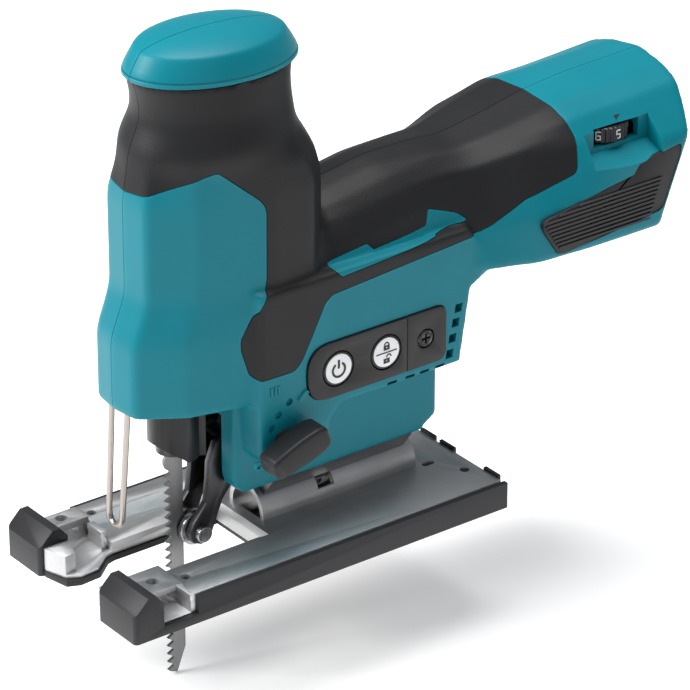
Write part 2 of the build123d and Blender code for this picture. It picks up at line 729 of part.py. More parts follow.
with BuildPart() as rear_bearing:
    with BuildSketch(Plane.YZ.offset(-89.5)):
        with Locations((0, MOTOR_Z)):
            Circle(6.5)
            Circle(2.55, mode=Mode.SUBTRACT)
    extrude(amount=4)
    fillet(rear_bearing.edges().filter_by(GeomType.CIRCLE), 0.3)
save(rear_bearing, "rear_bearing")

with BuildPart() as bearing_carrier:
    with BuildSketch(Plane.YZ.offset(-91.5)):
        with Locations((0, MOTOR_Z)):
            RectangleRounded(35, 22, 4)
    extrude(amount=6.5)
    with BuildSketch(Plane.YZ.offset(-89.5)):
        with Locations((0, MOTOR_Z)):
            Circle(6.5)
    extrude(amount=8, mode=Mode.SUBTRACT)
    with BuildSketch(Plane.YZ.offset(-93)):
        with Locations((0, MOTOR_Z)):
            Circle(4)
    extrude(amount=8, mode=Mode.SUBTRACT)
save(bearing_carrier, "bearing_carrier")

# ------------------------------------------------------------------ gear and crank
with BuildPart() as crank_gear:
    with BuildSketch(Plane.YZ.offset(-21.5)):
        with BuildLine():
            Polyline(*GEAR_PTS, close=True)
        make_face()
        with Locations((0, GEAR_Z)):
            Circle(4.05, mode=Mode.SUBTRACT)
    extrude(amount=7)
    with BuildSketch(Plane.YZ.offset(-27)):
        with Locations((0, GEAR_Z)):
            Circle(8)
            Circle(4.05, mode=Mode.SUBTRACT)
    extrude(amount=5.5)
    with BuildSketch(Plane.YZ.offset(-22)):
        with Locations((0, GEAR_Z - CRANK_R)):
            Circle(2.5)
    extrude(amount=10, mode=Mode.SUBTRACT)
    # lightening pockets
    with BuildSketch(Plane.YZ.offset(-22)):
        with Locations((0, GEAR_Z)):
            with PolarLocations(11.5, 3, start_angle=0, angular_range=240, rotate=True):
                Circle(3)
    extrude(amount=10, mode=Mode.SUBTRACT)
save(crank_gear, "crank_gear")

with BuildPart() as crank_pin:
    with BuildSketch(Plane.YZ.offset(-21.5)):
        with Locations((0, GEAR_Z - CRANK_R)):
            Circle(2.5)
    extrude(amount=21.5 - 10.3)
save(crank_pin, "crank_pin")

with BuildPart() as gear_shaft:
    with BuildSketch(Plane.YZ.offset(-34.9)):
        with Locations((0, GEAR_Z)):
            Circle(4)
    extrude(amount=20.6)
save(gear_shaft, "gear_shaft")

# frame that carries the plunger bushes, the gear shaft and the front motor bearing
with BuildPart() as gear_frame:
    with BuildSketch(Plane.YZ.offset(-35)):
        with Locations((0, 113)):
            RectangleRounded(34, 56, 5)
        with Locations((0, MOTOR_Z)):
            Circle(7.9, mode=Mode.SUBTRACT)
        with Locations((0, GEAR_Z)):
            Circle(4, mode=Mode.SUBTRACT)
    extrude(amount=5)
    # upper arm
    with BuildSketch(Plane.XY.offset(141.4)):
        with BuildLine():
            Polyline((-30, -9), (-3, -9), (-3, 9), (-30, 9), close=True)
        make_face()
        Circle(8.6)
        Circle(6.5, mode=Mode.SUBTRACT)
    extrude(amount=8.2)
    with BuildSketch(Plane.XY.offset(136)):
        with Locations((-31.5, 0)):
            Rectangle(7.0, 18)
    extrude(amount=10.5)
    # lower arm: two rails round the pinion, joined at the plunger
    with BuildSketch(Plane.XY.offset(94.6)):
        with Locations((-18, 10.5), (-18, -10.5)):
            Rectangle(24.2, 4.4)
        with Locations((-3.0, 0)):
            Rectangle(6, 25.4)
        Circle(8.6)
        Circle(6.5, mode=Mode.SUBTRACT)
    extrude(amount=8.0)
    # foot down to the bottom of the lower body, behind the roller arm
    with BuildSketch(Plane.XY.offset(30.5)):
        with Locations((-44, 0)):
            Rectangle(18, 12)
    extrude(amount=8)
    with BuildSketch(Plane.XY.offset(30.5)):
        with Locations((-50, 0)):
            Rectangle(26, 20)
    extrude(amount=4.5)
    with BuildSketch(Plane.XY.offset(34)):
        with Locations((-36.5, 0)):
            Rectangle(5, 20)
    extrude(amount=56)
    with BuildSketch(Plane.XY.offset(30)):
        with Locations((-57, 0)):
            Circle(2.5)
    extrude(amount=9, mode=Mode.SUBTRACT)
save(gear_frame, "gear_frame")

with BuildPart() as upper_bush:
    with BuildSketch(Plane.XY.offset(141.4)):
        Circle(6.5)
        Circle(4.55, mode=Mode.SUBTRACT)
    extrude(amount=8.2)
    chamfer(upper_bush.edges().group_by(Axis.Z)[-1], 0.3)
save(upper_bush, "upper_bush")

with BuildPart() as lower_bush:
    with BuildSketch(Plane.XY.offset(94.6)):
        Circle(6.5)
        Circle(4.55, mode=Mode.SUBTRACT)
    extrude(amount=8.0)
    chamfer(lower_bush.edges().group_by(Axis.Z)[-1], 0.3)
save(lower_bush, "lower_bush")

# ------------------------------------------------------------------ plunger, drawn at its lowest point
with BuildPart() as plunger:
    with BuildSketch(Plane.XY.offset(60)):
        Circle(4.5)
    extrude(amount=92)
    chamfer(plunger.edges().group_by(Axis.Z)[-1], 0.6)
    with BuildSketch(Plane.XY.offset(100)):
        Circle(2.6)
    extrude(amount=55, mode=Mode.SUBTRACT)
save(plunger, "plunger")

YOKE_Z = GEAR_Z - CRANK_R
with BuildPart() as yoke:
    with BuildSketch(Plane.YZ.offset(-10)):
        with Locations((0, YOKE_Z)):
            RectangleRounded(34.8, 13.6, 3)
            SlotOverall(30.6, 7.1, mode=Mode.SUBTRACT)
    extrude(amount=5.4)
    with BuildSketch(Plane.XY.offset(YOKE_Z - 6.8)):
        Circle(6.4)
        Circle(4.5, mode=Mode.SUBTRACT)
        with Locations((-16, 0)):
            Rectangle(22.8, 20, mode=Mode.SUBTRACT)
    extrude(amount=13.6)
save(yoke, "yoke")

with BuildPart() as yoke_roller:
    with BuildSketch(Plane.YZ.offset(-9.9)):
        with Locations((0, YOKE_Z)):
            Circle(3.5)
            Circle(2.55, mode=Mode.SUBTRACT)
    extrude(amount=5.2)
save(yoke_roller, "yoke_roller")

with BuildPart() as blade_clamp:
    with BuildSketch(Plane.XY.offset(43.5)):
        Circle(6.2)
    extrude(amount=27)
    with BuildSketch(Plane.XY.offset(60)):
        Circle(4.5)
    extrude(amount=12, mode=Mode.SUBTRACT)
    # blade slot
    with BuildSketch(Plane.XY.offset(43)):
        with Locations((0.5, 0)):
            Rectangle(8.2, 1.5)
    extrude(amount=17, mode=Mode.SUBTRACT)
save(blade_clamp, "blade_clamp")

with BuildPart() as clamp_sleeve:
    with BuildSketch(Plane.XY.offset(42)):
        Circle(8.9)
        with Locations((-6.4, 4.2)):
            Rectangle(6.0, 5.0, rotation=-30)
    extrude(amount=26)
    # slanted front of the lower rim
    with BuildSketch(Plane.XZ.offset(-20)):
        with BuildLine():
            Polyline((12, 40), (12, 50.5), (2.5, 44.0), (-2.5, 40), close=True)
        make_face()
    extrude(amount=40, mode=Mode.SUBTRACT)
    with BuildSketch(Plane.XY.offset(40)):
        Circle(6.27)
    extrude(amount=30, mode=Mode.SUBTRACT)
    fillet(clamp_sleeve.edges().group_by(Axis.Z)[-1].filter_by(GeomType.CIRCLE), 0.6)
save(clamp_sleeve, "clamp_sleeve")

with BuildPart() as clamp_spring:
    with BuildSketch(Plane.XY.offset(68.6)):
        Circle(7.6)
        Circle(6.4, mode=Mode.SUBTRACT)
    extrude(amount=0.9)
    with BuildSketch(Plane.XY.offset(70.0)):
        Circle(7.6)
        Circle(6.4, mode=Mode.SUBTRACT)
    extrude(amount=0.9)
    with BuildSketch(Plane.XY.offset(68.6)):
        with Locations((7, 0)):
            Rectangle(1.2, 1.6)
    extrude(amount=2.3)
save(clamp_spring, "clamp_spring")

# ------------------------------------------------------------------ saw blade, T shank
TOOTH = 3.15
with BuildPart() as blade:
    with BuildSketch(Plane.XZ.offset(-0.6)):
        with BuildLine():
            pts = [(-3.0, 55.5), (-3.0, -34.0), (0.6, BLADE_TIP), (3.1, BLADE_TIP + 0.9)]
            z = BLADE_TIP + 0.9
            n = 25
            for k in range(n):
                pts += [(4.2, z + TOOTH * 0.25), (1.9, z + TOOTH * 0.62), (2.3, z + TOOTH * 0.9)]
                z += TOOTH
            pts += [(3.6, z + 0.5), (4.4, z + 2.5), (4.4, z + 4.2), (3.0, z + 6.0), (3.2, 55.5), (4.2, 57.0), (4.2, 59.3), (-3.2, 59.3), (-3.2, 57.0)]
            Polyline(*pts, close=True)
        make_face()
    extrude(amount=1.2)
save(blade, "blade")

# ------------------------------------------------------------------ roller, arm, orbital lever
ROLL_X, ROLL_Z = -6.3, 12.0
PIV_X, PIV_Z = -18.0, 34.5
with BuildPart() as blade_roller:
    with BuildSketch(Plane.XZ.offset(-3.4)):
        with Locations((ROLL_X, ROLL_Z)):
            Circle(6.0)
    extrude(amount=6.8)
    with BuildSketch(Plane.XZ.offset(-1.0)):
        with Locations((ROLL_X, ROLL_Z)):
            Circle(6.6)
            Circle(3.0, mode=Mode.SUBTRACT)
    extrude(amount=2.0, mode=Mode.SUBTRACT)
    with BuildSketch(Plane.XZ.offset(-5)):
        with Locations((ROLL_X, ROLL_Z)):
            Circle(1.75)
    extrude(amount=10, mode=Mode.SUBTRACT)
save(blade_roller, "blade_roller")

with BuildPart() as roller_pin:
    with BuildSketch(Plane.XZ.offset(-6.6)):
        with Locations((ROLL_X, ROLL_Z)):
            Circle(1.7)
    extrude(amount=13.2)
    with BuildSketch(Plane.XZ.offset(-9.0)):
        with Locations((ROLL_X, ROLL_Z)):
            Circle(3.0)
    extrude(amount=2.4)
    fillet(roller_pin.edges().sort_by(Axis.Y)[-1], 0.5)
save(roller_pin, "roller_pin")

ARM_SIDE = [(-6.3, 7.4), (-2.9, 9.0), (-1.8, 12.6), (-3.4, 16.2), (-8.6, 22.6), (-9.6, 31.0), (-10.0, 37.5), (-12.8, 44.5), (-20.5, 46.0),
            (-22.8, 41.0), (-22.0, 30.5), (-15.2, 22.0), (-11.4, 12.6), (-10.0, 9.0)]
with BuildPart() as roller_arm:
    with BuildSketch(Plane.XZ.offset(-6.5)):
        with BuildLine():
            Polyline(*ARM_SIDE, close=True)
        make_face()
    extrude(amount=2.6)
    with BuildSketch(Plane.XZ.offset(3.9)):
        with BuildLine():
            Polyline(*ARM_SIDE, close=True)
        make_face()
    extrude(amount=2.6)
    # web that joins the two cheeks
    with BuildSketch(Plane.XZ.offset(-4.0)):
        with BuildLine():
            Polyline((-15.0, 45.0), (-20.4, 45.8), (-22.6, 41.0), (-21.8, 30.8), (-15.4, 22.2), (-14.0, 24.0), (-18.9, 31.4), (-19.6, 39.5), (-17.5, 41.5), close=True)
        make_face()
    extrude(amount=8.0)
    with BuildSketch(Plane.XZ.offset(-7)):
        with Locations((ROLL_X, ROLL_Z)):
            Circle(1.7)
    extrude(amount=14, mode=Mode.SUBTRACT)
    with BuildSketch(Plane.XZ.offset(-7)):
        with Locations((PIV_X, PIV_Z)):
            Circle(1.55)
    extrude(amount=14, mode=Mode.SUBTRACT)
save(roller_arm, "roller_arm")

with BuildPart() as arm_pivot_pin:
    with BuildSketch(Plane.XZ.offset(-12)):
        with Locations((PIV_X, PIV_Z)):
            Circle(1.5)
    extrude(amount=24)
save(arm_pivot_pin, "arm_pivot_pin")

LEV_X, LEV_Z = -25.0, 51.0
LEV_ANGLE = math.degrees(math.atan2(46.6 - LEV_Z, -12.0 - LEV_X))
with BuildPart() as orbital_lever:
    with BuildSketch(Plane.XZ.offset(-28.95)):
        with Locations((LEV_X, LEV_Z)):
            Circle(7.0)
    extrude(amount=-2.6)
    with BuildSketch(Plane.XZ.offset(-31.0)):
        with Locations(Location((LEV_X + 1.4, LEV_Z - 0.45, 0), (0, 0, LEV_ANGLE))):
            SlotOverall(22.4, 9.4)
    extrude(amount=-9.8)
    fillet(orbital_lever.edges().group_by(Axis.Y)[-1], 1.2)
save(orbital_lever, "orbital_lever")

with BuildPart() as orbital_shaft:
    with BuildSketch(Plane.XZ.offset(-28.95)):
        with Locations((LEV_X, LEV_Z)):
            Circle(3.0)
    extrude(amount=28.95 + 12.5)
    # flats where the arm's heel rests
    with BuildSketch(Plane.XZ.offset(-8.5)):
        with Locations((LEV_X, LEV_Z - 3.0)):
            Rectangle(7, 2.4)
    extrude(amount=17, mode=Mode.SUBTRACT)
save(orbital_shaft, "orbital_shaft")

# ------------------------------------------------------------------ tilt saddle, bolt and clamp plate
with BuildPart() as tilt_saddle:
    with BuildSketch(Plane.YZ.offset(-92)):
        with BuildLine():
            Polyline((-14.0, 27.8), (-6.9, 18.0), (6.9, 18.0), (14.0, 27.8), close=True)
        make_face()
        with Locations((0, TILT_Z)):
            Circle(TUNNEL_R + 0.3, mode=Mode.SUBTRACT)
    extrude(amount=60)
    with BuildSketch(Plane.XY.offset(15)):
        with Locations((-57, 0)):
            Circle(2.7)
    extrude(amount=15, mode=Mode.SUBTRACT)
save(tilt_saddle, "tilt_saddle")

with BuildPart() as clamp_plate:
    with BuildSketch(Plane.YZ.offset(-65)):
        with Locations((0, TILT_Z)):
            Circle(TUNNEL_R - 2.3)
        with Locations((0, TILT_Z - 5.0)):
            Rectangle(30, 20, mode=Mode.SUBTRACT)
    extrude(amount=16)
    with BuildSketch(Plane.XY.offset(10)):
        with Locations((-57, 0)):
            Circle(2.6)
    extrude(amount=15, mode=Mode.SUBTRACT)
save(clamp_plate, "clamp_plate")

with BuildPart() as base_bolt:
    with BuildSketch(Plane.XY.offset(13.0)):
        with Locations((-57, 0)):
            Circle(4.0)
            RegularPolygon(2.3, 6, mode=Mode.SUBTRACT)
    extrude(amount=1.8)
    with BuildSketch(Plane.XY.offset(14.8)):
        with Locations((-57, 0)):
            Circle(4.0)
    extrude(amount=1.2)
    with BuildSketch(Plane.XY.offset(16.0)):
        with Locations((-57, 0)):
            Circle(2.5)
    extrude(amount=20.0)
save(base_bolt, "base_bolt")

# ------------------------------------------------------------------ guard wire
WIRE_X, WIRE_Y = 20.7, 5.6
with BuildPart() as guard_wire:
    with BuildLine() as wire_line:
        FilletPolyline((WIRE_X, WIRE_Y, 76.0), (WIRE_X, WIRE_Y, 66.0), (25.2, 3.0, 21.9), (25.2, -3.0, 21.9), (WIRE_X, -WIRE_Y, 66.0),
                       (WIRE_X, -WIRE_Y, 76.0), radius=2.6)
    with BuildSketch(Plane(origin=wire_line.line @ 0, z_dir=wire_line.line % 0)):
        Circle(1.0)
    sweep()
save(guard_wire, "guard_wire")

# ------------------------------------------------------------------ base plate
GAP = 13.5                  # half width of the blade gap between the arms
with BuildPart() as base_plate:
    # main slab and its side walls
    with BuildSketch(Plane.XY.offset(7.3)):
        with Locations(((17.0 - 112.5) / 2, 0)):
            Rectangle(129.5, 72.8)
        with Locations(((17 - 25.5) / 2 + 4, 0)):
            Rectangle(42.5 + 8, 80, mode=Mode.SUBTRACT)
    extrude(amount=3.0)
    with BuildSketch(Plane.XY.offset(2.3)):
        with Locations(((-25.5 - 112.5) / 2, 35.15), ((-25.5 - 112.5) / 2, -35.15)):
            Rectangle(87, 2.5)
        with Locations((-111.25, 0), (-26.75, 0)):
            Rectangle(2.5, 72.8)
        with Locations((-62.6, 11.0), (-62.6, -11.0)):
            Rectangle(65.8, 2.2)
        with Locations((-50, 22.5), (-80, 22.5), (-50, -22.5), (-80, -22.5)):
            Rectangle(2.0, 24)
    extrude(amount=5.0)
    # tilt tunnel along x
    with BuildSketch(Plane.YZ.offset(-95.5)):
        with Locations((0, TILT_Z)):
            Circle(TUNNEL_R)
        with Locations((0, 0.0)):
            Rectangle(30, 2 * 7.3, mode=Mode.SUBTRACT)
    extrude(amount=65.8)
    with BuildSketch(Plane.YZ.offset(-95.5)):
        with Locations((0, TILT_Z)):
            Circle(TUNNEL_R - 2.0)
        with Locations((0, TILT_Z - 10)):
            Rectangle(2 * (TUNNEL_R - 2.0), 20)
    extrude(amount=65.8, mode=Mode.SUBTRACT)
    # cross slot for the bolt, wide enough for the full tilt
    with BuildSketch(Plane.YZ.offset(-60.4)):
        with BuildLine():
            Polyline((0, TILT_Z), (13.4, TILT_Z + 4.9), (13.4, 26), (-13.4, 26), (-13.4, TILT_Z + 4.9), close=True)
        make_face()
    extrude(amount=6.8, mode=Mode.SUBTRACT)
    # left arm: flat top, lower lip towards the blade
    with BuildSketch(Plane.YZ.offset(-25.5)):
        with BuildLine():
            Polyline((36.4, 10.3), (18.7, 10.3), (17.4, 7.0), (GAP, 7.0), (GAP, 2.3), (16, 2.3), (16, 4.4), (19.6, 4.4), (20.6, 7.4),
                     (33.9, 7.4), (33.9, 2.3), (36.4, 2.3), close=True)
        make_face()
    extrude(amount=42.5)
    # right arm: outer ledge, slope, lower lip
    with BuildSketch(Plane.YZ.offset(-25.5)):
        with BuildLine():
            Polyline((-36.4, 10.3), (-28.0, 10.3), (-22.4, 7.0), (-GAP, 7.0), (-GAP, 2.3), (-16, 2.3), (-16, 4.4), (-23, 4.4), (-28.8, 7.4),
                     (-33.9, 7.4), (-33.9, 2.3), (-36.4, 2.3), close=True)
        make_face()
    extrude(amount=42.5)
    # front of both arms: floor, fence ledges, nose blocks
    with BuildSketch(Plane.XY.offset(2.3)):
        with BuildLine():
            Polyline((16.9, 36.4), (16.9, GAP), (24, 12.4), (36, 12.4), (41.2, 17.5), (41.2, 36.4), close=True)
        make_face()
        with BuildLine():
            Polyline((16.9, -36.4), (16.9, -GAP), (20.0, -12.8), (27.0, -7.2), (34.5, -6.6), (38.6, -9.0), (41.2, -17.5), (41.2, -36.4), close=True)
        make_face()
    extrude(amount=1.3)
    with BuildSketch(Plane.XY.offset(3.6)):
        with Locations((29.05, 21.0)):
            Rectangle(24.3, 14.0)
        with Locations((29.05, -32.2)):
            Rectangle(24.3, 8.4)
        with Locations((35.85, 32.2)):
            Rectangle(10.7, 8.4)
        with BuildLine():
            Polyline((31.0, -28), (41.2, -28), (41.2, -17.5), (38.6, -9.5), (34.5, -9.5), (32.5, -16), (31.0, -20), close=True)
        make_face()
    extrude(amount=7.0)
    with BuildSketch(Plane.XY.offset(3.6)):
        with Locations((18.2, 32.2), (18.2, -20.5)):
            Rectangle(2.6, 8.4)
    extrude(amount=6.7)
    # tunnels for the guide fence, right across both arms
    with BuildSketch(Plane.XY.offset(3.6)):
        with Locations((25.0, 0)):
            Rectangle(11.6, 90)
    extrude(amount=4.5, mode=Mode.SUBTRACT)
    # screw holes for the fence and the circle guide
    with BuildSketch(Plane.XY.offset(1)):
        with Locations((24.6, 21.7), (24.8, -32.6)):
            Circle(2.1)
        with Locations((13.5, 25.4), (14.1, -30.0), (-107.3, 22.6), (-107.3, -22.6)):
            Circle(1.7)
    extrude(amount=12, mode=Mode.SUBTRACT)
    # lightening slot beside the tunnel's rear end
    with BuildSketch(Plane.XY.offset(5)):
        with Locations((-99.8, 11.5)):
            SlotOverall(5.0, 2.4)
    extrude(amount=8, mode=Mode.SUBTRACT)
save(base_plate, "base_plate")

# ------------------------------------------------------------------ sole cover: floor, skirts and front bumpers
BUMPER = [(43.1, 0.0), (43.1, 10.6), (37.6, 16.0), (34.4, 16.0), (31.4, 12.4), (31.4, 0.0)]
with BuildPart() as sole_cover:
    with BuildSketch(Plane.XY):
        with BuildLine():
            Polyline((SOLE_REAR, -SOLE_HALF), (41.5, -SOLE_HALF), (41.5, -17.0), (39.5, -7.6), (35.0, -5.6), (26.6, -6.2), (19.6, -12.0),
                     (16.6, -12.8), (-26.4, -12.8), (-26.4, 12.8), (16.6, 12.8), (24.0, 11.6), (36.4, 11.6), (41.5, 16.4),
                     (41.5, SOLE_HALF), (SOLE_REAR, SOLE_HALF), close=True)
        make_face()
        with Locations((-57, 0)):
            Rectangle(34, 15, mode=Mode.SUBTRACT)
    extrude(amount=2.2)
    # skirts along the sides and the rear
    with BuildSketch(Plane.XY.offset(2.2)):
        with Locations(((17.5 + SOLE_REAR) / 2, 37.55), ((17.5 + SOLE_REAR) / 2, -37.55)):
            Rectangle(17.5 - SOLE_REAR, 1.9)
    extrude(amount=7.6)
    with BuildSketch(Plane.XY.offset(2.2)):
        with Locations((SOLE_REAR + 0.6, 0)):
            Rectangle(1.2, 77)
    extrude(amount=4.0)
    with BuildSketch(Plane.XY.offset(2.2)):
        with Locations((SOLE_REAR + 0.65, 30.5), (SOLE_REAR + 0.65, -30.5), (SOLE_REAR + 0.65, -5.5), (SOLE_REAR + 0.65, 5.5)):
            Rectangle(1.3, 8.0)
    extrude(amount=9.0)
    with BuildSketch(Plane.XY.offset(2.2)):
        with Locations((24.6, 37.55), (24.6, -37.55)):
            Rectangle(14.4, 1.9)
    extrude(amount=1.2)
    # front bumpers
    for y_in, y_out in ((16.5, SOLE_HALF), (-SOLE_HALF, -18.5)):
        with BuildSketch(Plane.XZ.offset(-y_in)):
            with BuildLine():
                Polyline(*BUMPER, close=True)
            make_face()
        extrude(amount=-(y_out - y_in))
    fillet(sole_cover.edges().filter_by(Axis.Z).sort_by(Axis.X)[-4:], 1.6)
    for y_in, y_out in ((11.0, 36.55), (-36.55, -5.0)):
        with BuildSketch(Plane.XZ.offset(-y_in)):
            with BuildLine():
                Polyline((30.0, 2.2), (41.3, 2.2), (41.3, 10.75), (30.0, 10.75), close=True)
            make_face()
        extrude(amount=-(y_out - y_in), mode=Mode.SUBTRACT)
save(sole_cover, "sole_cover")

# block inside the lower body that carries the roller arm's pivot and the orbital shaft
with BuildPart() as guide_block:
    with BuildSketch(Plane.XY.offset(30.5)):
        with Locations(((-33.9 - 15.9) / 2, 0)):
            Rectangle(18.0, 28.6)
    extrude(amount=26.5)
    with BuildSketch(Plane.XZ.offset(-20)):
        with BuildLine():
            Polyline((-18.8, 30.0), (-15.5, 34.4), (-15.5, 30.0), close=True)
        make_face()
    extrude(amount=40, mode=Mode.SUBTRACT)
    with BuildSketch(Plane.XY.offset(30)):
        with Locations((-22.8, 0)):
            Rectangle(16.4, 18.6)
    extrude(amount=25.8, mode=Mode.SUBTRACT)
    with BuildSketch(Plane.XZ.offset(-15)):
        with Locations((PIV_X, PIV_Z)):
            Circle(1.5)
    extrude(amount=30, mode=Mode.SUBTRACT)
    with BuildSketch(Plane.XZ.offset(-15)):
        with Locations((LEV_X, LEV_Z)):
            Circle(3.05)
    extrude(amount=30, mode=Mode.SUBTRACT)
save(guide_block, "guide_block")

# plate that closes the nose of the housing round the blade clamp
nose_form = column_solid(SHELL + SKIN + 0.1, 0.5, 6)
with BuildPart() as nose_plate:
    with BuildSketch(Plane.XY.offset(NOSE_Z + 0.6)):
        with Locations((-1.0, 0)):
            Rectangle(29.0, 30.0)
        with Locations((17.5, 0)):
            Circle(9.0, mode=Mode.SUBTRACT)
    extrude(amount=2.4)
    add(nose_form, mode=Mode.INTERSECT)
    with BuildSketch(Plane.XY.offset(NOSE_Z)):
        Circle(11.3)
    extrude(amount=5, mode=Mode.SUBTRACT)
save(nose_plate, "nose_plate")
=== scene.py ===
import json
import math

import bmesh
import bpy
import numpy as np
from mathutils import Matrix, Vector

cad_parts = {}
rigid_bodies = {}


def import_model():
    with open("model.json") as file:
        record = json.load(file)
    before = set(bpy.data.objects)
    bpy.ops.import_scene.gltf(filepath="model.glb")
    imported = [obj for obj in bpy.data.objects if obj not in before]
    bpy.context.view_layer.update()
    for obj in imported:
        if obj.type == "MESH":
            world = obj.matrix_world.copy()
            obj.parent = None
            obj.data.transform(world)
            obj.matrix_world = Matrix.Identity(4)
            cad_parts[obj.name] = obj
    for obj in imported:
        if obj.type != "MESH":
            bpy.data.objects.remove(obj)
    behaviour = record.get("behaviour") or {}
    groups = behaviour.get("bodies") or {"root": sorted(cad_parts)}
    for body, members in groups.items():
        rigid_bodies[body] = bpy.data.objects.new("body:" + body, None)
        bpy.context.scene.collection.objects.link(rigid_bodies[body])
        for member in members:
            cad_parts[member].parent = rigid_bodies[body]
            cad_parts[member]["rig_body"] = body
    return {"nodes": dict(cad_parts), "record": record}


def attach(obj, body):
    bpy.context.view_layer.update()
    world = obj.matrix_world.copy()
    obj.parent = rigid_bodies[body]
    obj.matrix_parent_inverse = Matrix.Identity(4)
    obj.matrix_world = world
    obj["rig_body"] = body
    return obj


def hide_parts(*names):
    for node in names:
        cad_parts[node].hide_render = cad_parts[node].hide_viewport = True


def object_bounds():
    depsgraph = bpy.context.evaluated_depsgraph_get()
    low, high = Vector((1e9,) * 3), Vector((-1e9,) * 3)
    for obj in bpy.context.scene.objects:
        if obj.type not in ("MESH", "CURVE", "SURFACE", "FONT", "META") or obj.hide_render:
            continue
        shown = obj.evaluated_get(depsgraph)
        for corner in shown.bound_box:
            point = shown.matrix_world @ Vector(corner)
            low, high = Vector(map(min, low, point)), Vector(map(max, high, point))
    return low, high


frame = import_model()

cad_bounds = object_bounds()
nodes = frame["nodes"]
scene = bpy.context.scene
MM = 0.001


# ------------------------------------------------------------------ materials
def new_mat(name):
    m = bpy.data.materials.new(name)
    m.use_nodes = True
    nt = m.node_tree
    return m, nt, nt.nodes["Principled BSDF"]


def add_node(nt, kind, **values):
    n = nt.nodes.new(kind)
    for k, v in values.items():
        setattr(n, k, v)
    return n


def textured(name, base, rough, metallic=0.0, grain=2600.0, bump=0.12, tint=0.06, rough_var=0.08, spec=0.5,
             grain_kind="noise", coarse=55.0, coat=0.0, stretch=None, wear=0.0, wear_col=None, distance=0.00008):
    """Base colour with slow variation, roughness variation and a fine relief, all procedural in object space."""
    m, nt, p = new_mat(name)
    p.inputs["Metallic"].default_value = metallic
    p.inputs["Specular IOR Level"].default_value = spec
    p.inputs["Coat Weight"].default_value = coat
    p.inputs["Coat Roughness"].default_value = 0.25
    tc = add_node(nt, "ShaderNodeTexCoord")
    mp = add_node(nt, "ShaderNodeMapping")
    if stretch:
        mp.inputs["Scale"].default_value = stretch
    nt.links.new(tc.outputs["Object"], mp.inputs["Vector"])
    slow = add_node(nt, "ShaderNodeTexNoise")
    slow.inputs["Scale"].default_value = coarse
    slow.inputs["Detail"].default_value = 4.0
    nt.links.new(mp.outputs["Vector"], slow.inputs["Vector"])
    if grain_kind == "noise":
        fine = add_node(nt, "ShaderNodeTexNoise")
        fine.inputs["Detail"].default_value = 3.0
        fine_out = fine.outputs["Fac"]
    else:
        fine = add_node(nt, "ShaderNodeTexVoronoi")
        fine_out = fine.outputs["Distance"]
    fine.inputs["Scale"].default_value = grain
    nt.links.new(mp.outputs["Vector"], fine.inputs["Vector"])
    ramp = add_node(nt, "ShaderNodeValToRGB")
    ramp.color_ramp.elements[0].position = 0.3
    ramp.color_ramp.elements[1].position = 0.7
    ramp.color_ramp.elements[0].color = tuple(c * (1 - tint) for c in base) + (1,)
    ramp.color_ramp.elements[1].color = tuple(min(1, c * (1 + tint)) for c in base) + (1,)
    nt.links.new(slow.outputs["Fac"], ramp.inputs["Fac"])
    colour = ramp.outputs["Color"]
    if wear > 0:
        # rubbed convex edges, from how sharply the surface turns
        geo = add_node(nt, "ShaderNodeNewGeometry")
        wr = add_node(nt, "ShaderNodeMapRange")
        wr.inputs["From Min"].default_value = 0.505
        wr.inputs["From Max"].default_value = 0.56
        wr.inputs["To Max"].default_value = wear
        nt.links.new(geo.outputs["Pointiness"], wr.inputs["Value"])
        mix = add_node(nt, "ShaderNodeMixRGB")
        nt.links.new(wr.outputs["Result"], mix.inputs["Fac"])
        nt.links.new(colour, mix.inputs["Color1"])
        mix.inputs["Color2"].default_value = tuple(wear_col or [min(1, c * 1.8 + 0.02) for c in base]) + (1,)
        colour = mix.outputs["Color"]
    nt.links.new(colour, p.inputs["Base Color"])
    rr = add_node(nt, "ShaderNodeMapRange")
    rr.inputs["To Min"].default_value = max(0.02, rough - rough_var)
    rr.inputs["To Max"].default_value = min(1.0, rough + rough_var)
    nt.links.new(fine_out if grain_kind == "noise" else slow.outputs["Fac"], rr.inputs["Value"])
    nt.links.new(rr.outputs["Result"], p.inputs["Roughness"])
    b = add_node(nt, "ShaderNodeBump")
    b.inputs["Strength"].default_value = bump
    b.inputs["Distance"].default_value = distance
    nt.links.new(fine_out, b.inputs["Height"])
    nt.links.new(b.outputs["Normal"], p.inputs["Normal"])
    return m


TEAL = textured("teal_moulded", (0.0, 0.168, 0.215), 0.42, grain=1900, bump=0.35, tint=0.03, rough_var=0.07, spec=0.22, wear=0.2, wear_col=(0.01, 0.24, 0.29))
RUBBER = textured("grip_rubber", (0.0085, 0.0088, 0.0098), 0.52, grain=1500, grain_kind="voronoi", bump=0.45, tint=0.10, rough_var=0.08, spec=0.28, coarse=35)
BLACK = textured("black_moulded", (0.0075, 0.0078, 0.0085), 0.46, grain=2200, bump=0.35, tint=0.08, rough_var=0.08, spec=0.28, wear=0.3, wear_col=(0.05, 0.05, 0.055))
BLACK_SAT = textured("black_satin", (0.006, 0.006, 0.0065), 0.36, grain=2600, bump=0.2, tint=0.08, rough_var=0.06, spec=0.3, wear=0.2, wear_col=(0.06, 0.06, 0.065))
ALLOY = textured("base_alloy", (0.47, 0.47, 0.47), 0.48, metallic=1.0, grain=750, bump=0.6, tint=0.10, rough_var=0.10, coarse=70, wear=0.35, wear_col=(0.75, 0.75, 0.77), distance=0.0001)
CAST = textured("cast_dark", (0.20, 0.20, 0.21), 0.45, metallic=1.0, grain=1300, bump=0.4, tint=0.12, rough_var=0.10)
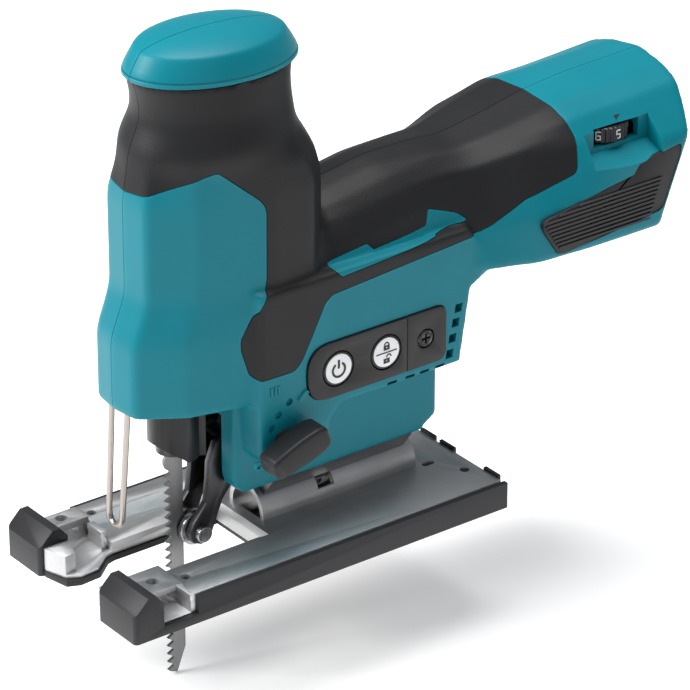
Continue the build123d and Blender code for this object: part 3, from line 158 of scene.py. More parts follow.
STEEL = textured("ground_steel", (0.46, 0.46, 0.47), 0.26, metallic=1.0, grain=1700, bump=0.15, tint=0.08, rough_var=0.08, stretch=(1, 1, 0.15))
STEEL_DARK = textured("black_oxide", (0.018, 0.018, 0.02), 0.36, metallic=0.85, grain=1500, bump=0.2, tint=0.15, rough_var=0.10, wear=0.4, wear_col=(0.22, 0.22, 0.23))
BLADE = textured("blade_steel", (0.085, 0.08, 0.076), 0.42, metallic=1.0, grain=1200, bump=0.25, tint=0.14, rough_var=0.12, stretch=(1.0, 1.0, 0.06), coarse=140, wear=0.4, wear_col=(0.5, 0.5, 0.5))
WIRE = textured("bright_wire", (0.36, 0.33, 0.30), 0.30, metallic=1.0, grain=1800, bump=0.08, tint=0.05, rough_var=0.05, stretch=(1, 1, 0.1))
BRONZE = textured("bush_bronze", (0.55, 0.38, 0.18), 0.35, metallic=1.0, grain=1600, bump=0.3)
COPPER = textured("copper_wire", (0.60, 0.25, 0.10), 0.3, metallic=1.0, grain=900, bump=0.4)
CORE = textured("laminated_core", (0.28, 0.28, 0.30), 0.42, metallic=1.0, grain=2500, bump=0.5, stretch=(8, 0.4, 0.4))
GREY = textured("grey_moulded", (0.09, 0.09, 0.095), 0.5, grain=1800, bump=0.3)
BOARD = textured("board_green", (0.01, 0.10, 0.045), 0.3, grain=700, bump=0.15)
BRASS = textured("contact_brass", (0.72, 0.55, 0.27), 0.25, metallic=1.0, grain=1600, bump=0.12)
WHITE = textured("icon_white", (0.78, 0.79, 0.80), 0.4, grain=2000, bump=0.1, tint=0.02)

MATS = {"teal_plastic": TEAL, "black_plastic": BLACK, "soft_grip": RUBBER, "cast_alloy": CAST, "machined_steel": STEEL,
        "black_steel": STEEL_DARK, "blade_steel": BLADE, "wire_steel": WIRE, "bush_bronze": BRONZE, "board_green": BOARD,
        "contact_brass": BRASS, "copper_wire": COPPER, "core_steel": CORE, "grey_plastic": GREY}
slots = {s["node"]: s["material_slot"] for s in frame["record"]["subparts"]}


def paint(obj, mat):
    obj.data.materials.clear()
    obj.data.materials.append(mat)


for n, o in nodes.items():
    paint(o, MATS[slots[n]])


# ------------------------------------------------------------------ mesh helpers (mm in, metres out)
def make_obj(name, verts, faces, mat=None, smooth=40):
    me = bpy.data.meshes.new(name)
    me.from_pydata([tuple(v) for v in np.asarray(verts, float) * MM], [], [tuple(int(i) for i in f) for f in faces])
    me.validate()
    ob = bpy.data.objects.new(name, me)
    scene.collection.objects.link(ob)
    if mat:
        paint(ob, mat)
    if smooth:
        shade(ob, smooth)
    return ob


def shade(ob, angle=40):
    ob.data.shade_smooth()
    ob.data.set_sharp_from_angle(angle=math.radians(angle))


def evaluated(ob):
    dg = bpy.context.evaluated_depsgraph_get()
    dg.update()
    return bpy.data.meshes.new_from_object(ob.evaluated_get(dg))


def apply_mods(ob):
    me = evaluated(ob)
    old = ob.data
    ob.modifiers.clear()
    ob.data = me
    if old.users == 0:
        bpy.data.meshes.remove(old)
    return ob


def clone(ob, name):
    c = ob.copy()
    c.data = ob.data.copy()
    c.name = name
    c.parent = None
    for k in list(c.keys()):
        del c[k]
    scene.collection.objects.link(c)
    c.hide_render = False
    c.hide_viewport = False
    return c


def boolean(ob, cutter, op="DIFFERENCE", keep=False, solver="MANIFOLD"):
    md = ob.modifiers.new("b", "BOOLEAN")
    md.operation = op
    md.solver = solver
    md.object = cutter
    apply_mods(ob)
    if not keep:
        bpy.data.objects.remove(cutter)
    return ob


def join_cutters(cutters):
    """Cutters that don't touch each other, as one object."""
    bm = bmesh.new()
    for c in cutters:
        bm.from_mesh(c.data)
    me = bpy.data.meshes.new("cut")
    bm.to_mesh(me)
    bm.free()
    for c in cutters:
        bpy.data.objects.remove(c)
    ob = bpy.data.objects.new("cut", me)
    scene.collection.objects.link(ob)
    return ob


def round_poly(pts, r, n=5):
    """Corners of a closed outline rounded by r (or one radius per corner)."""
    pts = [np.array(p[:2], float) for p in pts]
    out = []
    for i, p in enumerate(pts):
        rad = r[i] if isinstance(r, (list, tuple)) else r
        a, b = pts[i - 1] - p, pts[(i + 1) % len(pts)] - p
        la, lb = np.linalg.norm(a), np.linalg.norm(b)
        a, b = a / la, b / lb
        ang = math.acos(max(-1, min(1, float(a @ b))))
        if rad <= 0 or ang > math.radians(176):
            out.append(p)
            continue
        cut = min(rad / math.tan(ang / 2), 0.45 * la, 0.45 * lb)
        s, e = p + a * cut, p + b * cut
        for k in range(n + 1):
            t = k / n
            out.append((1 - t) ** 2 * s + 2 * t * (1 - t) * p + t * t * e)
    return out


def area2(pts):
    return sum(pts[i - 1][0] * pts[i][1] - pts[i][0] * pts[i - 1][1] for i in range(len(pts)))


def grow(pts, d):
    pts = [np.array(p, float) for p in pts]
    if area2(pts) < 0:
        pts = pts[::-1]
    out = []
    for i in range(len(pts)):
        e0, e1 = pts[i] - pts[i - 1], pts[(i + 1) % len(pts)] - pts[i]
        n0 = np.array([e0[1], -e0[0]]) / (np.linalg.norm(e0) + 1e-9)
        n1 = np.array([e1[1], -e1[0]]) / (np.linalg.norm(e1) + 1e-9)
        m = n0 + n1
        m /= (np.linalg.norm(m) + 1e-9)
        out.append(pts[i] + m * d / max(0.5, float(m @ n0)))
    return out


def prism(name, pts, a, b, plane="XZ", mat=None, smooth=0):
    """Outline pulled along the third axis from a to b; XZ outlines run along y, XY along z, YZ along x."""
    pts = [tuple(p) for p in pts]
    if area2(pts) < 0:
        pts = pts[::-1]
    def at(p, w):
        return {"XZ": (p[0], w, p[1]), "XY": (p[0], p[1], w), "YZ": (w, p[0], p[1])}[plane]
    n = len(pts)
    bm = bmesh.new()
    lo = [bm.verts.new(Vector(at(p, a)) * MM) for p in pts]
    hi = [bm.verts.new(Vector(at(p, b)) * MM) for p in pts]
    caps = [bm.faces.new(lo[::-1]), bm.faces.new(hi)]
    for i in range(n):
        bm.faces.new((lo[i], lo[(i + 1) % n], hi[(i + 1) % n], hi[i]))
    bmesh.ops.triangulate(bm, faces=caps)
    bmesh.ops.recalc_face_normals(bm, faces=bm.faces[:])
    me = bpy.data.meshes.new(name)
    bm.to_mesh(me)
    bm.free()
    ob = bpy.data.objects.new(name, me)
    scene.collection.objects.link(ob)
    if mat:
        paint(ob, mat)
    if smooth:
        shade(ob, smooth)
    return ob


def box(x0, x1, y0, y1, z0, z1, name="box"):
    return prism(name, [(x0, z0), (x1, z0), (x1, z1), (x0, z1)], y0, y1)


def ring_pts(cx, cy, r, n=32, start=0.0):
    return [(cx + r * math.cos(start + 2 * math.pi * k / n), cy + r * math.sin(start + 2 * math.pi * k / n)) for k in range(n)]


def arc_solid(name, cx, cz, r, w, a0, a1, y0, y1, n=40, mat=None):
    """Part of a flat ring facing along y, built as a closed strip."""
    v, f = [], []
    for k in range(n + 1):
        t = math.radians(a0 + (a1 - a0) * k / n)
        for rr, y in ((r - w / 2, y0), (r + w / 2, y0), (r + w / 2, y1), (r - w / 2, y1)):
            v.append((cx + rr * math.cos(t), y, cz + rr * math.sin(t)))
    for k in range(n):
        for i in range(4):
            f.append((4 * k + i, 4 * k + (i + 1) % 4, 4 * k + 4 + (i + 1) % 4, 4 * k + 4 + i))
    f.append((0, 1, 2, 3))
    f.append((4 * n + 3, 4 * n + 2, 4 * n + 1, 4 * n))
    ob = make_obj(name, v, f, mat, 0)
    bm = bmesh.new()
    bm.from_mesh(ob.data)
    bmesh.ops.recalc_face_normals(bm, faces=bm.faces[:])
    bm.to_mesh(ob.data)
    bm.free()
    return ob


def rod(cx, cy, r, a, b, plane="XZ", n=32, name="rod"):
    return prism(name, ring_pts(cx, cy, r, n), a, b, plane)


def bevelled(ob, width, segments=3, angle=30, mat=None, smooth=35):
    bm = bmesh.new()
    bm.from_mesh(ob.data)
    bmesh.ops.remove_doubles(bm, verts=bm.verts[:], dist=1e-6)
    bmesh.ops.dissolve_limit(bm, angle_limit=math.radians(0.6), verts=bm.verts[:], edges=bm.edges[:])
    bm.to_mesh(ob.data)
    bm.free()
    md = ob.modifiers.new("bev", "BEVEL")
    md.width = width * MM
    md.segments = segments
    md.limit_method = "ANGLE"
    md.angle_limit = math.radians(angle)
    md.use_clamp_overlap = True
    md.miter_outer = "MITER_ARC"
    apply_mods(ob)
    if mat:
        paint(ob, mat)
    shade(ob, smooth)
    return ob


def seat(ob, body, slot_name, *replaced):
    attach(ob, body)
    if replaced:
        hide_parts(*replaced)
    return ob


def refine(node, width, mat=None, segments=2, angle=30):
    """A CAD piece with its edges broken, standing for the CAD node."""
    src = nodes[node]
    body = src["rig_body"]
    ob = clone(src, node + "_fine")
    bevelled(ob, width, segments, angle, mat or MATS[slots[node]])
    return seat(ob, body, slots[node], node)


def rect(cx, cz, w, h):
    return [(cx - w / 2, cz - h / 2), (cx + w / 2, cz - h / 2), (cx + w / 2, cz + h / 2), (cx - w / 2, cz + h / 2)]


# ------------------------------------------------------------------ body form as a distance field
COL_LOW = [(24.4, 0), (23.0, 11), (8.0, 20.8), (-7.6, 24.8), (-22, 27.4), (-44, 27.4), (-51, 20), (-51, 0)]
COL_UP = [(18.4, 0), (17.4, 11), (2.8, 20.6), (-11, 24.3), (-24, 26.6), (-40, 25.8), (-49, 18), (-51, 0)]
COL_MID = [(16.6, 0), (14.8, 9.5), (3.4, 19.6), (-9, 24), (-22, 26), (-36, 25), (-46, 18), (-50, 8), (-51, 0)]


def ellipse_poly(cx, a, b, n=24):
    return [(cx + a * math.cos(math.pi * i / n), b * math.sin(math.pi * i / n)) for i in range(n + 1)]


NECK_A = ellipse_poly(-15.6, 31.2, 25.6)
NECK_B = ellipse_poly(-16.4, 30.0, 24.2)
NECK_C = ellipse_poly(-17.4, 28.3, 22.4)
NECK_D = ellipse_poly(-17.1, 28.4, 21.8)
NECK_E = ellipse_poly(-16.9, 30.4, 21.2)
COLUMN = [(60, COL_LOW, 0.4), (92, COL_LOW, 0.4), (107, COL_UP, 0.4), (141, COL_UP, 0.4), (151, COL_MID, 1.2), (158, NECK_A, 1),
          (162, NECK_B, 1), (168, NECK_C, 1), (175, NECK_D, 1), (182, NECK_E, 1), (200, NECK_E, 1)]
BARREL = [
    (-20, [(117, 0), (116.2, 7), (114.6, 12.4), (111.7, 17.2), (108, 20.9), (102, 23.3), (96, 24), (90, 24), (88, 0)]),
    (-30, [(119, 0), (118.2, 7), (116.6, 12.4), (113.7, 17.2), (109.8, 20.9), (104, 23.3), (98, 24), (90, 24), (88, 0)]),
    (-58, [(127.4, 0), (126.2, 7), (123.9, 12.7), (119.7, 17.6), (114.2, 21.4), (107, 23.8), (100, 24.5), (90, 24.5), (88, 0)]),
    (-80, [(131, 0), (129.8, 7.5), (127.2, 13.2), (122.5, 18.2), (116, 22), (108, 24.2), (100, 25), (90, 25), (88, 0)]),
    (-100, [(130.8, 0), (129, 11), (123.5, 18), (113, 21.5), (104, 23.6), (90, 27), (88, 0)], 0.8),
    (-112, [(129.6, 0), (128.4, 12), (123.5, 20), (114, 24), (104, 28.4), (89, 31.5), (88, 0)], 0.6),
    (-128, [(132.2, 0), (131.5, 14), (127, 24), (118, 29), (106, 35.0), (88.5, 36), (87.5, 0)], 0.4),
    (-148, [(136.3, 0), (135.2, 15), (132.3, 23), (126, 29.5), (117, 33.5), (108, 37), (88.5, 37), (87.5, 0)], 0.4),
    (-166, [(138.2, 0), (136.4, 14), (132.6, 22.5), (119.5, 37), (112, 37.3), (88.5, 37.2), (87.5, 0)], 0.4),
    (-215, [(139.8, 0), (138.2, 12), (135.5, 22.5), (122, 37), (112, 37.3), (88.5, 37.2), (87.5, 0)], 0.4),
]
BODY_UPPER = [(-13.2, 66), (-13.2, 107), (-104, 107), (-112, 95), (-112.0, 88), (-104.8, 84), (-100.5, 57.0), (-50, 57.0),
              (-45.5, 52), (-42, 41.5), (-20, 41.5), (-15.5, 47)]
BODY_LOWER = [(-13.2, 70), (-13.2, 34), (-14.6, 30), (-17.6, 27.8), (-94, 27.8), (-94, 29.2), (-99.3, 32.6), (-99.3, 62)]
REAR_LINE = [(80, -182.6), (92, -185.2), (112, -192.8), (128, -199.3), (145, -203.8)]
GRIP_LINE = [(17.8, 144.2), (16, 145.3), (0, 151.8), (-4, 152.8), (-20.8, 138.1), (-20.6, 109), (-10.4, 91.4), (-10.4, 87.6),
             (-13.2, 78), (-16, 75.6), (-29.6, 75.4), (-33, 78.4), (-42.6, 97), (-45.5, 99.2), (-108.9, 103.7), (-113, 105.2),
             (-126, 112.4), (-146.6, 117.3), (-149.4, 128.0), (-148.4, 141), (-148.4, 160), (-80, 160), (-60, 215), (40, 215), (40, 144.2)]
GRIP_R = [0, 1.5, 3, 2.5, 9, 12, 4, 3, 4, 2.5, 3, 9, 4, 4, 9, 9, 9, 4, 3, 0, 0, 0, 0, 0, 0]
CAP_SLOPE = 0.028
NA = 240


def radii(poly, centre, soft):
    full = list(poly) + [(a, -b) for a, b in reversed(poly) if abs(b) > 1e-6]
    p = np.array([(a - centre, b) for a, b in full])
    q = np.roll(p, -1, 0)
    t = np.arange(NA) * 2 * np.pi / NA
    d = np.stack([np.cos(t), np.sin(t)], 1)
    e = q - p
    det = d[:, 0:1] * -e[None, :, 1] + d[:, 1:2] * e[None, :, 0]
    det = np.where(abs(det) < 1e-9, 1e-9, det)
    r = (p[None, :, 0] * -e[None, :, 1] + p[None, :, 1] * e[None, :, 0]) / det
    s = (d[:, 0:1] * p[None, :, 1] - d[:, 1:2] * p[None, :, 0]) / det
    ok = (r > 0) & (s >= -1e-6) & (s <= 1 + 1e-6)
    out = np.where(ok, r, 1e9).min(1)
    for _ in range(round(soft * 5)):
        out = 0.25 * np.roll(out, 1) + 0.5 * out + 0.25 * np.roll(out, -1)
    return out


def loft_table(stations, centre, step, blur):
    pos = np.array([s[0] for s in stations], float)
    tab = np.array([radii(s[1], centre, s[2] if len(s) > 2 else 1) for s in stations])
    order = np.argsort(pos)
    pos, tab = pos[order], tab[order]
    grid = np.arange(pos[0], pos[-1] + step, step)
    full = np.stack([np.interp(grid, pos, tab[:, k]) for k in range(NA)], 1)
    n = int(blur / step)
    if n:
        ker = np.hanning(2 * n + 3)[1:-1]
        ker /= ker.sum()
        pad = np.pad(full, ((n, n), (0, 0)), mode="edge")
        full = sum(ker[i] * pad[i:i + len(full)] for i in range(2 * n + 1))
    return pos[0], step, full


def lookup(tab, pos, ang):
    p0, step, full = tab
    u = np.clip((pos - p0) / step, 0, len(full) - 1.001)
    v = (ang / (2 * np.pi) * NA) % NA
    i, j = u.astype(int), v.astype(int)
    a, b = u - i, v - j
    j1 = (j + 1) % NA
    return (full[i, j] * (1 - b) + full[i, j1] * b) * (1 - a) + (full[i + 1, j] * (1 - b) + full[i + 1, j1] * b) * a


def poly_sdf(px, pz, poly):
    d = np.full(px.shape, 1e9)
    s = np.ones(px.shape)
    n = len(poly)
    for i in range(n):
        (ax, az), (bx, bz) = poly[i], poly[i - 1]
        ex, ez = bx - ax, bz - az
        wx, wz = px - ax, pz - az
        t = np.clip((wx * ex + wz * ez) / (ex * ex + ez * ez), 0, 1)
        d = np.minimum(d, (wx - ex * t) ** 2 + (wz - ez * t) ** 2)
        c1, c2, c3 = pz >= az, pz < bz, ex * wz > ez * wx
        flip = (c1 & c2 & c3) | (~c1 & ~c2 & ~c3)
        s = np.where(flip, -s, s)
    return s * np.sqrt(d)


def smin(a, b, k):
    h = np.clip(0.5 + 0.5 * (b - a) / k, 0, 1)
    return b * (1 - h) + a * h - k * h * (1 - h)


def smax(a, b, k):
    return -smin(-a, -b, k)


def extruded(d2, dy, r):
    """Outline distance and distance past the flat sides, as one form with edges of radius r."""
    a, b = d2 + r, dy + r
    return np.minimum(np.maximum(a, b), 0) + np.hypot(np.maximum(a, 0), np.maximum(b, 0)) - r


H = 1.15
GX, GY, GZ = np.arange(-208, 30, H), np.arange(-42, 42 + H, H), np.arange(20, 200, H)


def form():
    X, Y, Z = np.meshgrid(GX, GY, GZ, indexing="ij")
    col_tab = loft_table(COLUMN, -16.0, 0.5, 5.0)
    bar_tab = loft_table(BARREL, 110.0, 0.5, 7.0)
    col = np.hypot(X + 16.0, Y) - lookup(col_tab, Z, np.arctan2(Y, X + 16.0))
    col = smax(col, NOSE - Z, 2.0)
    bar = np.hypot(Z - 110.0, Y) - lookup(bar_tab, X, np.arctan2(Y, Z - 110.0))
    xr = np.interp(Z[0, 0], [p[0] for p in REAR_LINE], [p[1] for p in REAR_LINE])[None, None, :]
    # the rear face is slightly crowned across the tool
    bar = smax(bar, (xr + 0.0016 * Y ** 2 - X) * 0.95, 2.5)
    bar = np.maximum(bar, X + 22)
    up2 = poly_sdf(X[:, 0, :], Z[:, 0, :], BODY_UPPER)[:, None, :]
    lo2 = poly_sdf(X[:, 0, :], Z[:, 0, :], BODY_LOWER)[:, None, :]
    up = extruded(up2 + 0 * Y, abs(Y) - 28.6, 1.8)
    # the front face falls back towards the sides
    up = smax(up, X + 13.2 + 0.0052 * np.maximum(abs(Y) - 6, 0) ** 2, 1.5)
    lo = extruded(lo2 + 0 * Y, abs(Y) - 17.0, 1.8)
    f = smin(col, bar, 5.0)
    f = smin(f, up, 1.6)
    f = smin(f, lo, 1.2)
    return np.maximum(f, (Z - (181.87 - (13.7 - X) * CAP_SLOPE)) * 0.99)


NOSE = 65.8


def surface_nets(f, gx, gy, gz, project=2):
    nx, ny, nz = f.shape
    inside = f < 0
    c = [inside[i:nx - 1 + i, j:ny - 1 + j, k:nz - 1 + k] for i in (0, 1) for j in (0, 1) for k in (0, 1)]
    tot = sum(a.astype(np.int8) for a in c)
    active = (tot > 0) & (tot < 8)
    idx = -np.ones(active.shape, np.int64)
    ai, aj, ak = np.nonzero(active)
    idx[ai, aj, ak] = np.arange(len(ai))
    acc, cnt = np.zeros((len(ai), 3)), np.zeros(len(ai))
    corners = [(i, j, k) for i in (0, 1) for j in (0, 1) for k in (0, 1)]
    for a in corners:
        for ax in range(3):
            if a[ax]:
                continue
            b = list(a)
            b[ax] = 1
            va = f[ai + a[0], aj + a[1], ak + a[2]]
            vb = f[ai + b[0], aj + b[1], ak + b[2]]
            m = (va < 0) != (vb < 0)
            t = np.where(m, va / np.where(m, va - vb, 1), 0)
            p = np.tile(np.array(a, float), (len(ai), 1))
            p[:, ax] += t
            acc += p * m[:, None]
            cnt += m
    local = acc / cnt[:, None]
    h = gx[1] - gx[0]
    v = np.stack([gx[ai], gy[aj], gz[ak]], 1) + local * h
    quads = []
    for ax in range(3):
        o = [d for d in range(3) if d != ax]
        sl0 = [slice(1, -1)] * 3
        sl0[ax] = slice(0, -1)
        sl1 = list(sl0)
        sl1[ax] = slice(1, None)
        a, b = inside[tuple(sl0)], inside[tuple(sl1)]
        e = np.argwhere(a != b)
        base = e.copy()
        for d in o:
            base[:, d] += 1
        first = a[tuple(e.T)]
        def cell(d0, d1):
            q = base.copy()
            q[:, o[0]] -= d0
            q[:, o[1]] -= d1
            return idx[tuple(q.T)]
        q = np.stack([cell(1, 1), cell(0, 1), cell(0, 0), cell(1, 0)], 1)
        flip = first if ax != 1 else ~first
        q[~flip] = q[~flip][:, ::-1]
        quads.append(q)
    q = np.concatenate(quads)
    q = q[(q >= 0).all(1)]
    if project:
        g = np.gradient(f, h)
        def sample(arr, p):
            u = np.stack([(p[:, 0] - gx[0]) / h, (p[:, 1] - gy[0]) / h, (p[:, 2] - gz[0]) / h], 1)
            u = np.clip(u, 0, np.array(f.shape) - 1.001)
            i = u.astype(int)
            t = u - i
            out = 0
            for a in corners:
                w = np.prod([t[:, d] if a[d] else 1 - t[:, d] for d in range(3)], axis=0)
                out = out + w * arr[i[:, 0] + a[0], i[:, 1] + a[1], i[:, 2] + a[2]]
            return out
        for _ in range(project):
            fv = sample(f, v)
            gv = np.stack([sample(a, v) for a in g], 1)
            v = v - np.clip(fv / np.maximum((gv ** 2).sum(1), 0.15), -0.4 * h, 0.4 * h)[:, None] * gv
    return v, q


F = form()
verts, quads = surface_nets(F, GX, GY, GZ)
outer = make_obj("outer", verts, quads, None, 0)
step = 3
vi, qi = surface_nets((F + 4.4)[::step, ::step, ::step], GX[::step], GY[::step], GZ[::step], 1)
inner = make_obj("inner", vi, qi, None, 0)
for o in (outer, inner):
    bm = bmesh.new()
    bm.from_mesh(o.data)
    bmesh.ops.recalc_face_normals(bm, faces=bm.faces[:])
    bm.to_mesh(o.data)
    bm.free()

# ------------------------------------------------------------------ cut the form into its mouldings
bosses = []
shell = outer
# solid backing behind the recess on either flank of the tail
for s in (1, -1):
    boolean(inner, prism("back", [(25.6 * s, 145), (25.6 * s, 117.4), (44 * s, 110.2), (44 * s, 145)], -183.9, -150.6, "YZ"))
boolean(shell, inner)
RAIL_SIDE = [(-127.0, 104.6), (-168.4, 112.0), (-170.8, 115.2), (-190.0, 118.4), (-189.6, 113.5), (-182.8, 96.0), (-180.6, 94.8), (-138.5, 90.4), (-135.5, 91.0)]
RAIL_R = [3, 1.5, 1.5, 2.5, 2, 1.5, 1.5, 2, 2]
DX, DY = -167.5, 20.5
PX, PZ = -63.9, 71.4


def capsule_pts(w, h, r, x=PX, z=PZ, r2=None):
    """Front end a half round, rear end with smaller corners."""
    r2 = r if r2 is None else r2
    a, b = w / 2, h / 2
    return round_poly([(x - a, z - b), (x + a, z - b), (x + a, z + b), (x - a, z + b)], [r2, r, r, r2], 10)


grip_outline = round_poly(GRIP_LINE, GRIP_R, 7)
inlay_pts = [(-46.5, 108.1), (-49.5, 104.6), (-106.0, 107.9), (-102.0, 110.9), (-90.9, 115.0), (-89.0, 109.9), (-66.3, 107.9), (-64.0, 110.3)]
inlay_outline = round_poly(inlay_pts, [1.0, 1.0, 1.0, 1.5, 1.2, 1.5, 1.0, 1.0], 4)

rubber = clone(shell, "rubber_all")
boolean(rubber, prism("p", grow(grip_outline, -0.10), -60, 60), "INTERSECT")
boolean(shell, prism("p", grow(grip_outline, 0.16), -60, 60))

inlay = clone(rubber, "inlay_all")
boolean(inlay, prism("p", inlay_outline, -60, 60), "INTERSECT")
boolean(inlay, box(-120, -30, -12, 12, 90, 140))
ic = join_cutters([prism("p", grow(inlay_outline, 0.22), 12, 60), prism("p", grow(inlay_outline, 0.22), -60, -12)])
boolean(rubber, ic)

# openings in the hard moulding
boolean(shell, box(-240, -133, -32, 32, 70, 103.6))
boolean(shell, box(-134, -124, -28.4, 28.4, 70, 103.4))
cuts = [prism("c", round_poly(RAIL_SIDE, RAIL_R, 4), 35.3, 60), prism("c", round_poly(RAIL_SIDE, RAIL_R, 4), -60, -35.3),
        box(-31, -8, -9.3, 9.3, 15, 56)]
boolean(shell, join_cutters(cuts))
boolean(shell, prism("c", capsule_pts(59.0, 21.2, 10.2, r2=4.4), 26.9, 60))
boolean(shell, join_cutters([rod(-47.2, 71.4, 6.8, 15, 60), rod(-67.3, 71.4, 6.8, 15, 60)]))
# round hole in the nose for the blade clamp
boolean(shell, rod(0, 0, 11.3, 50, 78, "XY", 64))
# dial recess
recess = [(28.0, 140), (28.0, 119.4), (40, 114.6), (40, 140)]
boolean(shell, join_cutters([prism("c", recess, -181.5, -153.0, "YZ"), prism("c", [(-a, b) for a, b in recess], -181.5, -153.0, "YZ")]))
boolean(shell, box(-177.4, -157.6, 12, 30, 121.2, 128.2))
# cooling slots at the back of the lower body, and short ones in the ledge
vents = []
for x, z in ((-98.7, 78.2), (-97.5, 73.0), (-96.2, 67.4), (-95.0, 61.8)):
    for sgn in (1, -1):
        vents.append(prism("v", [(x - 1.5, z - 1.6), (x + 1.5, z - 1.6), (x + 1.0, z + 1.6), (x - 2.0, z + 1.6)], 24 * sgn, 60 * sgn))
for x in (-70.8, -78.4, -84.6, -91.2):
    for sgn in (1, -1):
        vents.append(prism("v", rect(x, 58.3, 4.0, 1.1), 24 * sgn, 60 * sgn))
boolean(shell, join_cutters(vents))
# detent dimples for the selector
dimples = [rod(x, z, 1.4, 27.6, 32, n=20) for x, z in ((-27.4, 64.6), (-23.0, 61.0), (-20.2, 56.8))]
boolean(shell, join_cutters(dimples))
# screw seats on the right
SCREWS = [(-38.0, 152.0, 20.0), (14.5, 84.0, 15.5), (-95.0, 67.0, 28.6), (-78.0, 35.0, 17.0), (-97.0, 122.5, 17.5), (-186.0, 121.5, 36.0)]
for target in (shell, rubber):
    boolean(target, join_cutters([rod(x, z, 3.6, -60, -hw + 4.0) for x, z, hw in SCREWS]))

pieces = {}
for name, src, slot_name, mat in (("housing", shell, "teal_plastic", TEAL), ("grip", rubber, "soft_grip", RUBBER)):
    for side, s in (("left", 1), ("right", -1)):
        ob = clone(src, f"{name}_{side}_form")
        lo, hi = (0.11, 80) if s > 0 else (-80, -0.11)
        boolean(ob, box(-260, 90, lo, hi, -60, 260), "INTERSECT")
        paint(ob, mat)
        shade(ob, 32)
        pieces[f"{name}_{side}"] = seat(ob, "tool_body", slot_name, f"{name}_{side}")
for side, s in (("left", 1), ("right", -1)):
    ob = clone(inlay, f"inlay_{side}_form")
    lo, hi = (5, 80) if s > 0 else (-80, -5)
    boolean(ob, box(-260, 90, lo, hi, -60, 260), "INTERSECT")
    paint(ob, TEAL)
    shade(ob, 32)
    seat(ob, "tool_body", "teal_plastic", f"inlay_{side}")
for o in (shell, rubber, inlay):
    bpy.data.objects.remove(o)

# ------------------------------------------------------------------ head cap: crowned top, crease band, seam
def cap_mesh():
    A, B, CX = 32.0, 21.2, -17.4
    n = 128
    # outline fraction and height above the rim plane: rim bead, groove, slanted band, crease, crown
    prof = [(0.955, -0.15), (0.99, 0.0), (1.0, 0.35), (1.0, 1.25), (0.994, 1.5), (0.982, 1.6), (0.98, 1.95), (0.988, 2.15), (0.985, 2.5), (0.955, 4.2), (0.915, 6.3),
            (0.872, 8.4), (0.856, 9.0), (0.835, 9.5), (0.80, 9.95), (0.70, 10.9), (0.56, 11.8), (0.4, 12.45), (0.22, 12.85), (0.08, 12.95)]
    verts, faces = [], []
    for f, h in prof:
        for k in range(n):
            t = 2 * math.pi * k / n
            x, y = CX + A * f * math.cos(t), B * f * math.sin(t)
            verts.append((x, y, 181.87 - (13.7 - x) * CAP_SLOPE + 0.03 + h))
    verts.append((CX, 0, max(v[2] for v in verts[-n:])))
    m = len(prof)
    for i in range(m - 1):
        for k in range(n):
            faces.append((i * n + k, i * n + (k + 1) % n, (i + 1) * n + (k + 1) % n, (i + 1) * n + k))
    for k in range(n):
        faces.append(((m - 1) * n + k, (m - 1) * n + (k + 1) % n, len(verts) - 1))
    verts.append((CX, 0, 181.87 - (13.7 - CX) * CAP_SLOPE - 0.1))
    for k in range(n):
        faces.append(((k + 1) % n, k, len(verts) - 1))
    return verts, faces


cv, cf = cap_mesh()
cap = make_obj("head_cap_form", cv, cf, TEAL, 0)
boolean(cap, box(-80, 50, -0.13, 0.13, 170, 200))
shade(cap, 26)
seat(cap, "tool_body", "teal_plastic", "head_cap")

# ------------------------------------------------------------------ key pad
pad = prism("key_pad", capsule_pts(58.4, 20.6, 9.9, r2=4.0), 27.0, 29.5, mat=BLACK_SAT)
boolean(pad, join_cutters([rod(-47.2, PZ, 6.55, 20, 40, n=48), rod(-67.3, PZ, 6.55, 20, 40, n=48), rod(-84.3, PZ, 3.6, 28.1, 40, n=32), rod(-84.3, PZ, 1.7, 20, 28.5, n=24)]))
boolean(pad, box(-76.6, -76.1, 29.1, 31, 58, 84))
bevelled(pad, 0.4, 3, 35, BLACK_SAT)
seat(pad, "tool_body", "black_plastic", "switch_panel")


def lathe_y(name, cx, cz, prof, mat, n=48, close=True):
    """Profile of (radius, y) turned about an axis along y."""
    v, f = [], []
    for r, y in prof:
        for k in range(n):
            t = 2 * math.pi * k / n
            v.append((cx + r * math.cos(t), y, cz + r * math.sin(t)))
    m = len(prof)
    for i in range(m - 1):
        for k in range(n):
            f.append((i * n + k, (i + 1) * n + k, (i + 1) * n + (k + 1) % n, i * n + (k + 1) % n))
    f.append(tuple(range(n)))
    f.append(tuple(reversed(range((m - 1) * n, m * n))))
    ob = make_obj(name, v, f, mat, 40)
    bm = bmesh.new()
    bm.from_mesh(ob.data)
    bmesh.ops.recalc_face_normals(bm, faces=bm.faces[:])
    bm.to_mesh(ob.data)
    bm.free()
    return ob


def button(name, bx, icon):
    ob = rod(bx, PZ, 6.2, 26.4, 29.5, n=64, name=name + "_form")
    bevelled(ob, 0.35, 3, 40, BLACK_SAT)
    seat(ob, name.replace("_button", "_key"), "black_plastic", name)
    disc = rod(bx, PZ, 5.35, 29.45, 29.72, n=64, name=name + "_disc")
    bevelled(disc, 0.08, 2, 40, WHITE)
    seat(disc, name.replace("_button", "_key"), "black_plastic")
    for i, (pts, holes) in enumerate(icon(bx)):
        if isinstance(pts, tuple):
            g = arc_solid(f"{name}_mark_{i}", *pts, 29.66, 29.86, mat=BLACK_SAT)
        else:
            g = prism(f"{name}_mark_{i}", pts, 29.66, 29.86, mat=BLACK_SAT)
        for h in holes:
            boolean(g, prism("h", h, 29, 31), solver="EXACT")
        seat(g, name.replace("_button", "_key"), "black_plastic")


